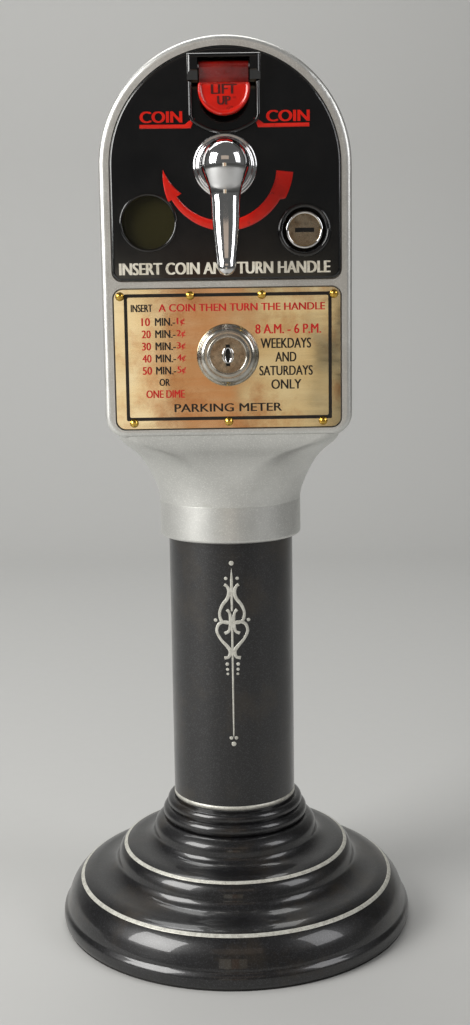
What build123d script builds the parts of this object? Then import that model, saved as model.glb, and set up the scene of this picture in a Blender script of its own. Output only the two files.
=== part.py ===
"""Coin parking meter on a short post and a stepped round base.

Millimetres, +Z up, origin at the centre of the foot, front of the meter towards -Y.
"""

import os
from math import acos, atan2, cos, degrees, pi, radians, sin, tan

from build123d import *

# ---------------------------------------------------------------- driving dimensions
POST_R = 30.15  # 2 inch nominal pipe, 60.3 mm outside
POST_WALL = 3.9
POST_TOP = 236.0
BASE_R = 87.5
BASE_TOP = 52.0
FOOT_H = 1.0

HEAD_HALF_W = 55.6
HEAD_FRONT = -48.0
HEAD_BACK = 48.0
HEAD_BOTTOM = 247.8
SPRING_Z = 366.6  # centre of the arched top and of the crank
WALL = 4.0
COLLAR_R = 34.2
COLLAR_BOTTOM = 195.8

FRAME_R = 50.9  # front openings
PLATE_R = 50.5
LIP_R = 47.0
LIP_FRONT = -43.3
LIP_BACK = -40.3
CAVITY_R = 51.0
CAVITY_BACK = 44.0
UPPER_FLOOR = 317.3
LOWER_CEILING = 314.6
LOWER_FLOOR = 251.4

PLATE_FRONT = -49.0
PLATE_BACK = -43.8
POCKET_X = 14.0
POCKET_BOTTOM = 381.4
POCKET_SAG = 6.0
POCKET_TOP = 411.6
HOOD_FRONT = -55.0
HOOD_TOP = 413.4
CHEEK_X = 11.2
PIN_Y, PIN_Z = -51.6, 408.6

WINDOW = (-34.0, 342.9)
WINDOW_R = 11.6
SIDE_LOCK = (34.4, 338.8)
DOOR_LOCK = (0.0, 284.6)
DOOR_FRONT = -46.6
DOOR_BACK = -43.6
BAR_FRONT, BAR_BACK = -39.8, -37.8

CRANK = (0.0, SPRING_Z)
SHAFT_R = 4.0
RUNNING = 0.05  # radial clearance of a turning fit

TIME = (0.0, SPRING_Z - 24.0)
FRONT_PLATE_Y = -28.0
REAR_PLATE_Y = 18.0
MOVEMENT_PLATE = 2.0
DIAL_Y = 26.0
WINDOW_HALF_W = 38.0
WINDOW_LOW = 336.0
WINDOW_SPRING = 346.0

WIND_MODULE, CRANK_TEETH, WIND_TEETH = 0.8, 15, 45
TRAIN_MODULE, GREAT_TEETH, SECOND_PINION = 0.6, 60, 15
SLOW_MODULE, SECOND_TEETH, ESCAPE_PINION = 0.5, 60, 15


def polar_point(centre, distance, angle):
    return (
        centre[0] + distance * cos(radians(angle)),
        centre[1] + distance * sin(radians(angle)),
    )


def direction(a, b):
    """The angle of the line from a to b, in degrees."""
    return degrees(atan2(b[1] - a[1], b[0] - a[0]))


SECOND = polar_point(TIME, TRAIN_MODULE * (GREAT_TEETH + SECOND_PINION) / 2, 30)
ESCAPE = polar_point(SECOND, SLOW_MODULE * (SECOND_TEETH + ESCAPE_PINION) / 2, 66)
BALANCE = (6.0, 386.0)
LEVER = (16.0, 381.5)
FLAG = (-30.0, 352.0)


def upright(y):
    """A plane facing the front at that depth: an extrusion from it grows towards the front."""
    return Plane.XZ.offset(-y)


def disc(centre, radius, y_front, y_back, mode=Mode.ADD):
    """A round slab, axis along Y."""
    with BuildSketch(upright(y_back)) as outline:
        with Locations(centre):
            Circle(radius)
    extrude(outline.sketch, amount=y_back - y_front, mode=mode)


def block(x0, x1, y0, y1, z0, z1, mode=Mode.ADD):
    """A box between two corners."""
    with Locations(((x0 + x1) / 2, (y0 + y1) / 2, (z0 + z1) / 2)):
        Box(x1 - x0, y1 - y0, z1 - z0, mode=mode)


def arch_slab(half_w, z_low, corner, y_front, y_back, z_spring=SPRING_Z, mode=Mode.ADD):
    """A tombstone slab: straight sides, half-round top, rounded lower corners."""
    with BuildSketch(upright(y_back)) as outline:
        with BuildLine():
            FilletPolyline(
                (-half_w, z_spring),
                (-half_w, z_low),
                (half_w, z_low),
                (half_w, z_spring),
                radius=corner,
            )
            ThreePointArc((half_w, z_spring), (0, z_spring + half_w), (-half_w, z_spring))
        make_face()
    extrude(outline.sketch, amount=y_back - y_front, mode=mode)


def panel_slab(half_w, z_low, z_high, corner, y_front, y_back, mode=Mode.ADD):
    """A slab with four rounded corners."""
    with BuildSketch(upright(y_back)) as outline:
        with Locations((0, (z_low + z_high) / 2)):
            RectangleRounded(2 * half_w, z_high - z_low, corner)
    extrude(outline.sketch, amount=y_back - y_front, mode=mode)


def finish(builder, name):
    builder.part.label = name
    export_step(builder.part, f"parts/{name}.step")


# ---------------------------------------------------------------- stand
def make_foot_ring():
    with BuildPart() as foot_ring:
        Cylinder(86.5, FOOT_H, align=(Align.CENTER, Align.CENTER, Align.MIN))
        Cylinder(82.5, FOOT_H, align=(Align.CENTER, Align.CENTER, Align.MIN), mode=Mode.SUBTRACT)
    finish(foot_ring, "foot_ring")


def make_base():
    """Three stepped tiers, each a rounded shoulder above a cove, hollow underneath."""
    with BuildPart() as base:
        with BuildSketch(Plane.XZ):
            with BuildLine():
                Line((POST_R + 0.1, BASE_TOP), (35.6, BASE_TOP))
                Spline((35.6, BASE_TOP), (39.4, 49.4), (41.2, 44.6), tangents=((1, 0), (0.3, -1)))
                Spline((41.2, 44.6), (44.0, 41.2), (50.6, 39.6), tangents=((0.3, -1), (1, -0.06)))
                Spline((50.6, 39.6), (56.8, 37.2), (59.6, 31.2), tangents=((1, -0.06), (0.25, -1)))
                Spline((59.6, 31.2), (63.2, 26.8), (71.0, 24.9), tangents=((0.25, -1), (1, -0.06)))
                Spline((71.0, 24.9), (79.2, 21.4), (85.4, 8.4), tangents=((1, -0.06), (0.3, -1)))
                Line((85.4, 8.4), (86.9, 7.6))
                RadiusArc((86.9, 7.6), (BASE_R, 6.0), 2.4)
                Line((BASE_R, 6.0), (BASE_R, FOOT_H))
                Line((BASE_R, FOOT_H), (81.5, FOOT_H))
                Line((81.5, FOOT_H), (80.5, 8.0))
                Line((80.5, 8.0), (70.0, 19.0))
                Line((70.0, 19.0), (56.0, 21.5))
                Line((56.0, 21.5), (50.0, 30.0))
                Line((50.0, 30.0), (POST_R + 0.1, 30.0))
                Line((POST_R + 0.1, 30.0), (POST_R + 0.1, BASE_TOP))
            make_face()
        revolve(axis=Axis.Z)
    finish(base, "base")


def make_base_collar():
    """A spun ring with two beads that hides the joint of post and base."""
    inner = POST_R + 0.1
    with BuildPart() as base_collar:
        with BuildSketch(Plane.XZ):
            with BuildLine():
                Line((inner, BASE_TOP), (34.8, BASE_TOP))
                RadiusArc((34.8, BASE_TOP), (34.4, 57.6), -3.4)
                Line((34.4, 57.6), (33.2, 58.0))
                RadiusArc((33.2, 58.0), (31.6, 62.6), -3.0)
                Line((31.6, 62.6), (inner, 62.6))
                Line((inner, 62.6), (inner, BASE_TOP))
            make_face()
        revolve(axis=Axis.Z)
    finish(base_collar, "base_collar")


def make_post():
    with BuildPart() as post:
        with Locations((0, 0, 14)):
            Cylinder(POST_R, POST_TOP - 14, align=(Align.CENTER, Align.CENTER, Align.MIN))
            Cylinder(
                POST_R - POST_WALL,
                POST_TOP - 14,
                align=(Align.CENTER, Align.CENTER, Align.MIN),
                mode=Mode.SUBTRACT,
            )
    finish(post, "post")


def make_base_lock_nut():
    """The pipe's lock nut, drawn up against the hub inside the base."""
    with BuildPart() as base_lock_nut:
        with BuildSketch(Plane.XY.offset(19)):
            RegularPolygon(41.0, 6)
            Circle(POST_R + 0.1, mode=Mode.SUBTRACT)
        extrude(amount=11)
    finish(base_lock_nut, "base_lock_nut")


# ---------------------------------------------------------------- housing
# height, half width, half depth, corner radius
NECK = (
    (213.0, 34.0, 34.0, 33.8),
    (219.5, 35.3, 35.0, 33.8),
    (228.0, 38.6, 37.2, 32.0),
    (235.5, 42.2, 40.6, 27.0),
    (242.0, 46.8, 44.8, 17.0),
    (248.6, 50.4, 47.5, 8.0),
)


def neck_section(z, half_w, half_d, corner):
    with BuildSketch(Plane.XY.offset(z)) as section:
        RectangleRounded(2 * half_w, 2 * half_d, corner)
    return section.sketch


def make_housing():
    """One aluminium casting: arched head, flared neck and the collar that takes the post."""
    with BuildPart() as housing:
        arch_slab(HEAD_HALF_W, HEAD_BOTTOM, 10.0, HEAD_FRONT, HEAD_BACK)
        rim = housing.edges().filter_by_position(Axis.Y, HEAD_FRONT, HEAD_FRONT)
        back = housing.edges().filter_by_position(Axis.Y, HEAD_BACK, HEAD_BACK)
        fillet(rim + back, 2.6)
        loft([neck_section(*section) for section in NECK])
        with Locations((0, 0, COLLAR_BOTTOM)):
            Cylinder(COLLAR_R, 213 - COLLAR_BOTTOM, align=(Align.CENTER, Align.CENTER, Align.MIN))
        fillet(housing.edges().group_by(Axis.Z)[0], 1.6)
        # front openings, the lips behind them and the two compartments
        arch_slab(FRAME_R, UPPER_FLOOR, 4.6, HEAD_FRONT - 1, LIP_FRONT, mode=Mode.SUBTRACT)
        arch_slab(LIP_R, UPPER_FLOOR + 3.6, 3.0, LIP_FRONT - 1, LIP_BACK + 1, mode=Mode.SUBTRACT)
        arch_slab(CAVITY_R, UPPER_FLOOR, 3.0, LIP_BACK, CAVITY_BACK, mode=Mode.SUBTRACT)
        panel_slab(FRAME_R, LOWER_FLOOR, LOWER_CEILING, 4.6, HEAD_FRONT - 1, LIP_FRONT, mode=Mode.SUBTRACT)
        panel_slab(LIP_R, 258.0, 311.2, 3.0, LIP_FRONT - 1, LIP_BACK + 1, mode=Mode.SUBTRACT)
        panel_slab(CAVITY_R, LOWER_FLOOR, LOWER_CEILING, 3.0, LIP_BACK, CAVITY_BACK, mode=Mode.SUBTRACT)
        # rear window, coin passage between the compartments, socket for the post
        arch_slab(
            WINDOW_HALF_W, WINDOW_LOW, 6.0, CAVITY_BACK - 1, HEAD_BACK + 1, WINDOW_SPRING, Mode.SUBTRACT
        )
        block(*COIN_PASSAGE, -42.6, -30, 311.0, UPPER_FLOOR + 4.6, Mode.SUBTRACT)
        # two cast runners for the coin box
        for side in (-1, 1):
            block(side * 30 - 4, side * 30 + 4, -36.0, 40.0, LOWER_FLOOR - 0.5, 258.6)
        with Locations((0, 0, COLLAR_BOTTOM - 1)):
            Cylinder(
                POST_R + 0.1,
                POST_TOP + 0.2 - COLLAR_BOTTOM + 1,
                align=(Align.CENTER, Align.CENTER, Align.MIN),
                mode=Mode.SUBTRACT,
            )
        # tapped holes of the three clamping screws in the collar
        for angle in SCREW_ANGLES:
            with Locations(Plane(origin=(0, 0, SCREW_Z), z_dir=(cos(radians(angle)), sin(radians(angle)), 0))):
                Cylinder(3.0, 40, align=(Align.CENTER, Align.CENTER, Align.MIN), mode=Mode.SUBTRACT)
    finish(housing, "housing")


SCREW_ANGLES = (30, 90, 150)
SCREW_Z = 204.5


def make_collar_screws():
    """Three socket set screws that clamp the collar to the post."""
    with BuildPart() as collar_screws:
        for angle in SCREW_ANGLES:
            out = Plane(
                origin=((POST_R + 0.02) * cos(radians(angle)), (POST_R + 0.02) * sin(radians(angle)), SCREW_Z),
                z_dir=(cos(radians(angle)), sin(radians(angle)), 0),
            )
            with BuildSketch(out):
                Circle(2.95)
            extrude(amount=3.4)
            with BuildSketch(out.offset(1.4)):
                RegularPolygon(1.6, 6)
            extrude(amount=2.2, mode=Mode.SUBTRACT)
    finish(collar_screws, "collar_screws")


def make_rear_window():
    """Bezel outside, gasket and glass inside, and the bezel's four screws."""
    with BuildPart() as rear_bezel:
        arch_slab(WINDOW_HALF_W + 5, WINDOW_LOW - 5, 9.0, HEAD_BACK, HEAD_BACK + 2.6, WINDOW_SPRING)
        fillet(rear_bezel.edges().filter_by_position(Axis.Y, HEAD_BACK + 2.6, HEAD_BACK + 2.6), 1.4)
        arch_slab(
            WINDOW_HALF_W - 0.6, WINDOW_LOW + 0.6, 5.4, HEAD_BACK - 1, HEAD_BACK + 4, WINDOW_SPRING, Mode.SUBTRACT
        )
        for spot in BEZEL_SCREWS:
            disc(spot, 1.1, HEAD_BACK - 1, HEAD_BACK + 4, Mode.SUBTRACT)
    finish(rear_bezel, "rear_bezel")

    with BuildPart() as rear_bezel_screws:
        for x, z in BEZEL_SCREWS:
            disc((x, z), 1.05, HEAD_BACK + 0.1, HEAD_BACK + 2.7)
            disc((x, z), 1.7, HEAD_BACK + 2.6, HEAD_BACK + 3.6)
            block(x - 2.4, x + 2.4, HEAD_BACK + 3.1, HEAD_BACK + 6, z - 0.3, z + 0.3, Mode.SUBTRACT)
    finish(rear_bezel_screws, "rear_bezel_screws")

    glass_front, glass_back = CAVITY_BACK - 3.2, CAVITY_BACK - 0.8
    with BuildPart() as rear_gasket:
        arch_slab(WINDOW_HALF_W + 4, WINDOW_LOW - 4, 8.0, glass_back, CAVITY_BACK, WINDOW_SPRING)
        arch_slab(
            WINDOW_HALF_W - 0.4, WINDOW_LOW + 0.4, 5.6, glass_back - 1, CAVITY_BACK + 1, WINDOW_SPRING, Mode.SUBTRACT
        )
    finish(rear_gasket, "rear_gasket")

    with BuildPart() as rear_glass:
        arch_slab(WINDOW_HALF_W + 4, WINDOW_LOW - 4, 8.0, glass_front, glass_back, WINDOW_SPRING)
    finish(rear_glass, "rear_glass")

    with BuildPart() as glass_clips:
        for angle in (20, 90, 160):
            x, z = polar_point((0, WINDOW_SPRING), WINDOW_HALF_W + 5.0, angle)
            tangent_block(x, z, angle, glass_front - 1.2, glass_front)
            tangent_block(*polar_point((x, z), 3.2, angle), angle, glass_front, CAVITY_BACK, 2.0)
    finish(glass_clips, "glass_clips")


BEZEL_SCREWS = (
    *(polar_point((0, WINDOW_SPRING), WINDOW_HALF_W + 1.7, a) for a in (35, 145)),
    (-30.0, WINDOW_LOW - 1.7),
    (30.0, WINDOW_LOW - 1.7),
)


def tangent_block(x, z, angle, y_front, y_back, radial=5.2):
    """A small block whose width runs round the window and whose height points away from its centre."""
    with BuildSketch(upright(y_back)) as outline:
        with Locations(Location((x, z), angle)):
            Rectangle(radial, 7.0)
    extrude(outline.sketch, amount=y_back - y_front)


COIN_PASSAGE = (-46.0, -22.0)


def make_coin_guide():
    """Bent sheet under the passage that throws each coin back into the box."""
    left, right = COIN_PASSAGE
    with BuildPart() as coin_guide:
        with BuildSketch(Plane.YZ.offset(left + 0.1)):
            Polygon((-42.4, 314.2), (-42.4, 313.0), (-31.4, 304.0), (-30.7, 304.7), align=None)
        extrude(amount=right - left - 0.2)
        for x in (left + 0.1, right - 1.1):
            with BuildSketch(Plane.YZ.offset(x)):
                Polygon((-42.4, 314.2), (-30.8, 304.6), (-28.0, LOWER_CEILING), (-42.4, LOWER_CEILING), align=None)
            extrude(amount=1.0)
            block(x, x + 1.0, -30.0, -22.0, LOWER_CEILING - 4, LOWER_CEILING)
    finish(coin_guide, "coin_guide")


# ---------------------------------------------------------------- works: front
def make_faceplate():
    """Enamelled casting with a hood and cheeks round the coin pocket."""
    with BuildPart() as faceplate:
        arch_slab(PLATE_R, UPPER_FLOOR + 0.4, 4.4, PLATE_FRONT, PLATE_BACK)
        fillet(faceplate.edges().filter_by_position(Axis.Y, PLATE_FRONT, PLATE_FRONT), 1.2)
        # hood over the hinge, sloping back into the plate, and a raised rim round the pocket
        with BuildSketch(Plane.YZ.offset(-15.8)):
            Polygon(
                (PLATE_FRONT + 0.5, 402.6),
                (HOOD_FRONT + 2.4, 402.6),
                (HOOD_FRONT, 406.0),
                (HOOD_FRONT, HOOD_TOP),
                (PLATE_FRONT + 0.5, HOOD_TOP + 0.6),
                align=None,
            )
        extrude(amount=31.6)
        fillet(faceplate.edges().filter_by_position(Axis.Y, HOOD_FRONT, HOOD_FRONT), 1.7)
        with BuildSketch(upright(PLATE_FRONT + 0.5)):
            pocket_outline(15.4, POCKET_BOTTOM - 0.7, 404.5)
        extrude(amount=2.1)
        # the pocket goes right through; cheeks narrow it where the flap hangs
        with BuildSketch(upright(PLATE_BACK + 1)):
            pocket_outline(POCKET_X, POCKET_BOTTOM, 402.6)
            with Locations((0, (400.0 + POCKET_TOP) / 2)):
                Rectangle(2 * CHEEK_X, POCKET_TOP - 400.0)
        extrude(amount=20.0, mode=Mode.SUBTRACT)
        # cast posts behind the plate that carry the movement
        for spot in FRONT_POSTS:
            disc(spot, 3.0, PLATE_BACK - 0.5, FRONT_PLATE_Y)
        with Locations(Plane(origin=(-14.2, PIN_Y, PIN_Z), z_dir=(1, 0, 0))):
            Cylinder(1.0, 28.4, align=(Align.CENTER, Align.CENTER, Align.MIN), mode=Mode.SUBTRACT)
        disc(CRANK, 6.52, -60, -40, Mode.SUBTRACT)
        disc(WINDOW, WINDOW_R, -60, -40, Mode.SUBTRACT)
        disc(WINDOW, WINDOW_R + 1.6, PLATE_BACK - 2.6, -40, Mode.SUBTRACT)
        disc(SIDE_LOCK, 8.6, -60, -40, Mode.SUBTRACT)
    finish(faceplate, "faceplate")


def pocket_outline(half_w, z_low, z_high, mode=Mode.ADD):
    """Straight sides down to shoulders, and a shallow round bottom between them."""
    shoulder = z_low + POCKET_SAG
    with BuildLine() as edge:
        Polyline((-half_w, shoulder), (-half_w, z_high), (half_w, z_high), (half_w, shoulder))
        ThreePointArc((half_w, shoulder), (0, z_low), (-half_w, shoulder))
    make_face(edge.edges(), mode=mode)


def make_faceplate_gasket():
    with BuildPart() as faceplate_gasket:
        arch_slab(PLATE_R - 0.2, UPPER_FLOOR + 0.6, 4.2, PLATE_BACK, LIP_FRONT)
        arch_slab(LIP_R + 0.2, UPPER_FLOOR + 3.4, 3.2, PLATE_BACK - 1, LIP_FRONT + 1, mode=Mode.SUBTRACT)
    finish(faceplate_gasket, "faceplate_gasket")


LINER_X = 17.0
LINER_BOTTOM = 379.6


def make_coin_pocket():
    """Steel liner behind the pocket, its floor slotted for the coin."""
    with BuildPart() as coin_pocket:
        with BuildSketch(upright(-35.6)):
            pocket_outline(LINER_X, LINER_BOTTOM, 409.5)
        extrude(amount=-PLATE_BACK - 35.6)
        with BuildSketch(upright(-37.2)):
            pocket_outline(POCKET_X - 0.2, POCKET_BOTTOM + 0.2, 407.8)
        extrude(amount=10, mode=Mode.SUBTRACT)
        block(-18, 11.6, -41.4, -38.8, 376, 403, Mode.SUBTRACT)
    finish(coin_pocket, "coin_pocket")


CHUTE_OUTSIDE = (
    (14.6, 386.0),
    (14.6, 377.6),
    (-12.0, 371.2),
    (-12.0, 360.0),
    (-21.0, 349.0),
    (-21.0, 324.0),
    (-46.2, 324.0),
    (-46.2, 371.8),
    (-14.0, 402.2),
)
CHUTE_INSIDE = (
    (13.2, 386.5),
    (13.2, 378.8),
    (-13.4, 372.4),
    (-13.4, 359.5),
    (-22.4, 348.5),
    (-22.4, 321.0),
    (-44.8, 321.0),
    (-44.8, 371.2),
    (-13.6, 400.8),
)


def make_coin_chute():
    """Flat channel that carries the coin from the pocket, past the window, to the vault."""
    with BuildPart() as coin_chute:
        with BuildSketch(upright(-37.6)):
            Polygon(*CHUTE_OUTSIDE, align=None)
            pocket_outline(LINER_X + 0.05, LINER_BOTTOM - 0.05, 412.0, Mode.SUBTRACT)
        extrude(amount=5.4)
        with BuildSketch(upright(-38.8)):
            Polygon(*CHUTE_INSIDE, align=None)
        extrude(amount=2.8, mode=Mode.SUBTRACT)
        disc(WINDOW, WINDOW_R - 0.6, -44, -40, Mode.SUBTRACT)
    finish(coin_chute, "coin_chute")


def make_coin_window():
    with BuildPart() as window_glass:
        disc(WINDOW, WINDOW_R + 1.2, PLATE_BACK - 2.2, PLATE_BACK - 0.6)
    finish(window_glass, "window_glass")
    with BuildPart() as window_seal:
        disc(WINDOW, WINDOW_R + 1.2, PLATE_BACK - 0.6, PLATE_BACK + 0.6)
        disc(WINDOW, WINDOW_R - 0.8, PLATE_BACK - 2, PLATE_BACK + 2, Mode.SUBTRACT)
    finish(window_seal, "window_seal")


def make_flap():
    """Red coin flap: a hinge barrel, a narrow upper leaf and a thick round tab."""
    tab_z = 401.2
    with BuildPart() as flap:
        with Locations(Plane(origin=(-10.6, PIN_Y, PIN_Z), z_dir=(1, 0, 0))):
            Cylinder(2.4, 21.2, align=(Align.CENTER, Align.CENTER, Align.MIN))
        with BuildSketch(Plane.YZ.offset(-10.6)):
            Polygon(
                (PIN_Y - 1.6, PIN_Z),
                (PIN_Y + 1.4, PIN_Z),
                (-48.6, tab_z - 1.0),
                (-52.6, tab_z - 1.0),
                align=None,
            )
        extrude(amount=21.2)
        with BuildSketch(upright(-48.6)):
            with Locations((0, tab_z - 2.2)):
                Circle(11.4)
            with Locations((0, tab_z + 8)):
                Rectangle(30, 16, mode=Mode.SUBTRACT)
        extrude(amount=4.4)
        chamfer(flap.edges().filter_by_position(Axis.Y, -53.0, -53.0).filter_by(GeomType.CIRCLE), 0.6)
        with Locations(Plane(origin=(-11, PIN_Y, PIN_Z), z_dir=(1, 0, 0))):
            Cylinder(1.0 + RUNNING, 22, align=(Align.CENTER, Align.CENTER, Align.MIN), mode=Mode.SUBTRACT)
    finish(flap, "flap")
    with BuildPart() as flap_pin:
        with Locations(Plane(origin=(-14.0, PIN_Y, PIN_Z), z_dir=(1, 0, 0))):
            Cylinder(1.0, 28.0, align=(Align.CENTER, Align.CENTER, Align.MIN))
    finish(flap_pin, "flap_pin")


# ---------------------------------------------------------------- works: crank
def make_crank():
    x, z = CRANK
    with BuildPart() as crank_escutcheon:
        disc(CRANK, 14.0, PLATE_FRONT - 2.0, PLATE_FRONT)
        disc(CRANK, 12.0, PLATE_FRONT - 4.0, PLATE_FRONT - 1.9)
        fillet(crank_escutcheon.edges().filter_by_position(Axis.Y, PLATE_FRONT - 2, PLATE_FRONT - 2), 0.9)
        fillet(crank_escutcheon.edges().filter_by_position(Axis.Y, PLATE_FRONT - 4, PLATE_FRONT - 4), 0.9)
        disc(CRANK, 6.6, -60, -40, Mode.SUBTRACT)
    finish(crank_escutcheon, "crank_escutcheon")

    with BuildPart() as crank_bushing:
        disc(CRANK, 6.5, PLATE_FRONT - 3.6, -37.0)
        disc(CRANK, 7.1, PLATE_BACK, PLATE_BACK + 1.6)
        disc(CRANK, SHAFT_R + RUNNING, -60, -30, Mode.SUBTRACT)
    finish(crank_bushing, "crank_bushing")

    with BuildPart() as crank_handle:
        with Locations((x, BALL_Y, z)):
            Sphere(10.4)
        disc(CRANK, 8.6, BALL_Y + 4, PLATE_FRONT - 4.3)
        rings = []
        for drop, y, half_w, half_d in ARM:
            with BuildSketch(Plane(origin=(x, y, z - drop), x_dir=(1, 0, 0), z_dir=(0, 0, -1))) as ring:
                Ellipse(half_w, half_d)
            rings.append(ring.sketch)
        loft(rings)
        with Locations((x, ARM[-1][1], z - ARM[-1][0])):
            Sphere(ARM[-1][3])
        with Locations((x, ARM[-1][1] - 1.6, z - ARM[-1][0] - 3.4)):
            Sphere(3.7)
        disc(CRANK, SHAFT_R, BALL_Y, -40, Mode.SUBTRACT)
    finish(crank_handle, "crank_handle")

    with BuildPart() as crank_shaft:
        disc(CRANK, SHAFT_R, BALL_Y, -14.0)
        fillet(crank_shaft.edges().group_by(Axis.Y)[-1], 0.5)
    finish(crank_shaft, "crank_shaft")

    with BuildPart() as crank_gear:
        toothed_disc(CRANK, CRANK_TEETH, WIND_MODULE, -24.0, -21.0, 0.0)
        disc(CRANK, SHAFT_R, -30, -15, Mode.SUBTRACT)
    finish(crank_gear, "crank_gear")

    with BuildPart() as stop_arm:
        disc(CRANK, 7.0, -34.6, -32.0)
        with BuildSketch(upright(-32.0)):
            Polygon((2.4, z + 3), (2.4, z + 16), (-2.4, z + 16), (-2.4, z + 3), align=None)
        extrude(amount=2.6)
        disc(CRANK, SHAFT_R, -40, -30, Mode.SUBTRACT)
    finish(stop_arm, "stop_arm")

    with BuildPart() as return_spring:
        spiral_ribbon(CRANK, 5.4, 9.2, 3.0, 0.5, -19.4, -16.0)
    finish(return_spring, "return_spring")


# distance below the pivot, depth, half width, half thickness
BALL_Y = -64.6
ARM = (
    (4.0, -65.0, 8.8, 7.6),
    (14.0, -66.4, 6.4, 5.2),
    (26.0, -68.2, 5.7, 4.4),
    (38.0, -70.6, 4.6, 3.9),
    (40.0, -71.0, 4.2, 3.8),
)


def spiral_ribbon(centre, r_in, r_out, turns, thick, y_front, y_back):
    """A flat spring: an arithmetic spiral of that many turns, as a ribbon of even thickness."""
    steps = int(turns * 16)
    inner, outer = [], []
    for i in range(steps + 1):
        share = i / steps
        radius = r_in + (r_out - r_in) * share
        angle = 360 * turns * share
        inner.append(polar_point(centre, radius, angle))
        outer.append(polar_point(centre, radius + thick, angle))
    with BuildSketch(upright(y_back)) as outline:
        with BuildLine():
            Spline(*inner)
            Line(inner[-1], outer[-1])
            Spline(*reversed(outer))
            Line(outer[0], inner[0])
        make_face()
    extrude(outline.sketch, amount=y_back - y_front)


# ---------------------------------------------------------------- gears
def tooth_points(teeth, module, phase):
    """Outline of an involute gear, 20 degree pressure angle, thinned for backlash.

    Each flank follows the involute from the base circle to the tip in four points.
    """
    pitch = module * teeth / 2
    base = pitch * cos(radians(20))
    tip = pitch + 0.92 * module
    root = pitch - 1.3 * module
    half = degrees(pi / (2 * teeth)) - degrees(0.07 * module / pitch)
    lean = degrees(tan(radians(20))) - 20
    start = max(base, root)
    points = []
    for k in range(teeth):
        centre = phase + 360 * k / teeth
        flank = []
        for i in range(4):
            radius = start + (tip - start) * i / 3
            roll = acos(min(1.0, base / radius))
            flank.append((radius, half + lean - degrees(tan(roll) - roll)))
        gap = 180 / teeth
        low = max(half + lean, 0) * 1.0
        points.append((root, centre - (low + gap) / 2 - gap * 0.12))
        points.append((root, centre - low))
        points += [(r, centre - a) for r, a in flank]
        points += [(r, centre + a) for r, a in reversed(flank)]
        points.append((root, centre + low))
    return [(r * cos(radians(a)), r * sin(radians(a))) for r, a in points]


def toothed_disc(centre, teeth, module, y_front, y_back, phase):
    with BuildSketch(upright(y_back)) as outline:
        with Locations(centre):
            Polygon(*tooth_points(teeth, module, phase), align=None)
    extrude(outline.sketch, amount=y_back - y_front)


def mesh_phase(a, b, teeth_a, teeth_b, phase_a):
    """The phase that puts a gap of gear b against a tooth of gear a, on the line of centres."""
    line = direction(a, b)
    offset = (line - phase_a) * teeth_a / teeth_b
    return line + 180 + offset + 180 / teeth_b


# ---------------------------------------------------------------- works: movement
MOVEMENT_PILLARS = ((-38.0, 334.0), (39.0, 347.0), (-30.0, 392.0), (30.0, 392.0))
FRONT_POSTS = ((-15.0, 330.0), (39.0, 363.0), (-22.0, 401.4), (22.0, 401.4))


def movement_plate(name, y_front, holes):
    with BuildPart() as plate:
        arch_slab(43.0, 323.0, 5.0, y_front, y_front + MOVEMENT_PLATE)
        for centre, radius in holes:
            disc(centre, radius, y_front - 2, y_front + 5, Mode.SUBTRACT)
    finish(plate, name)


def make_movement():
    pivots = [(c, 1.5 + RUNNING) for c in (TIME, SECOND, ESCAPE, BALANCE, LEVER)]
    movement_plate(
        "front_movement_plate",
        FRONT_PLATE_Y,
        [(CRANK, SHAFT_R + RUNNING), *pivots, *((p, 1.6) for p in FRONT_POSTS)],
    )
    movement_plate(
        "rear_movement_plate",
        REAR_PLATE_Y,
        [*pivots, (FLAG, 1.5 + RUNNING), *((p, 1.6) for p in MOVEMENT_PILLARS)],
    )
    with BuildPart() as movement_pillars:
        for spot in MOVEMENT_PILLARS:
            disc(spot, 3.0, FRONT_PLATE_Y + MOVEMENT_PLATE, REAR_PLATE_Y)
    finish(movement_pillars, "movement_pillars")
    with BuildPart() as movement_screws:
        for spot in FRONT_POSTS:
            disc(spot, 1.55, FRONT_PLATE_Y, FRONT_PLATE_Y + 2.1)
            disc(spot, 2.8, FRONT_PLATE_Y + 2.0, FRONT_PLATE_Y + 3.6)
        for spot in MOVEMENT_PILLARS:
            disc(spot, 1.55, REAR_PLATE_Y, REAR_PLATE_Y + 2.1)
            disc(spot, 2.8, REAR_PLATE_Y + 2.0, REAR_PLATE_Y + 3.6)
    finish(movement_screws, "movement_screws")


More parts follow.
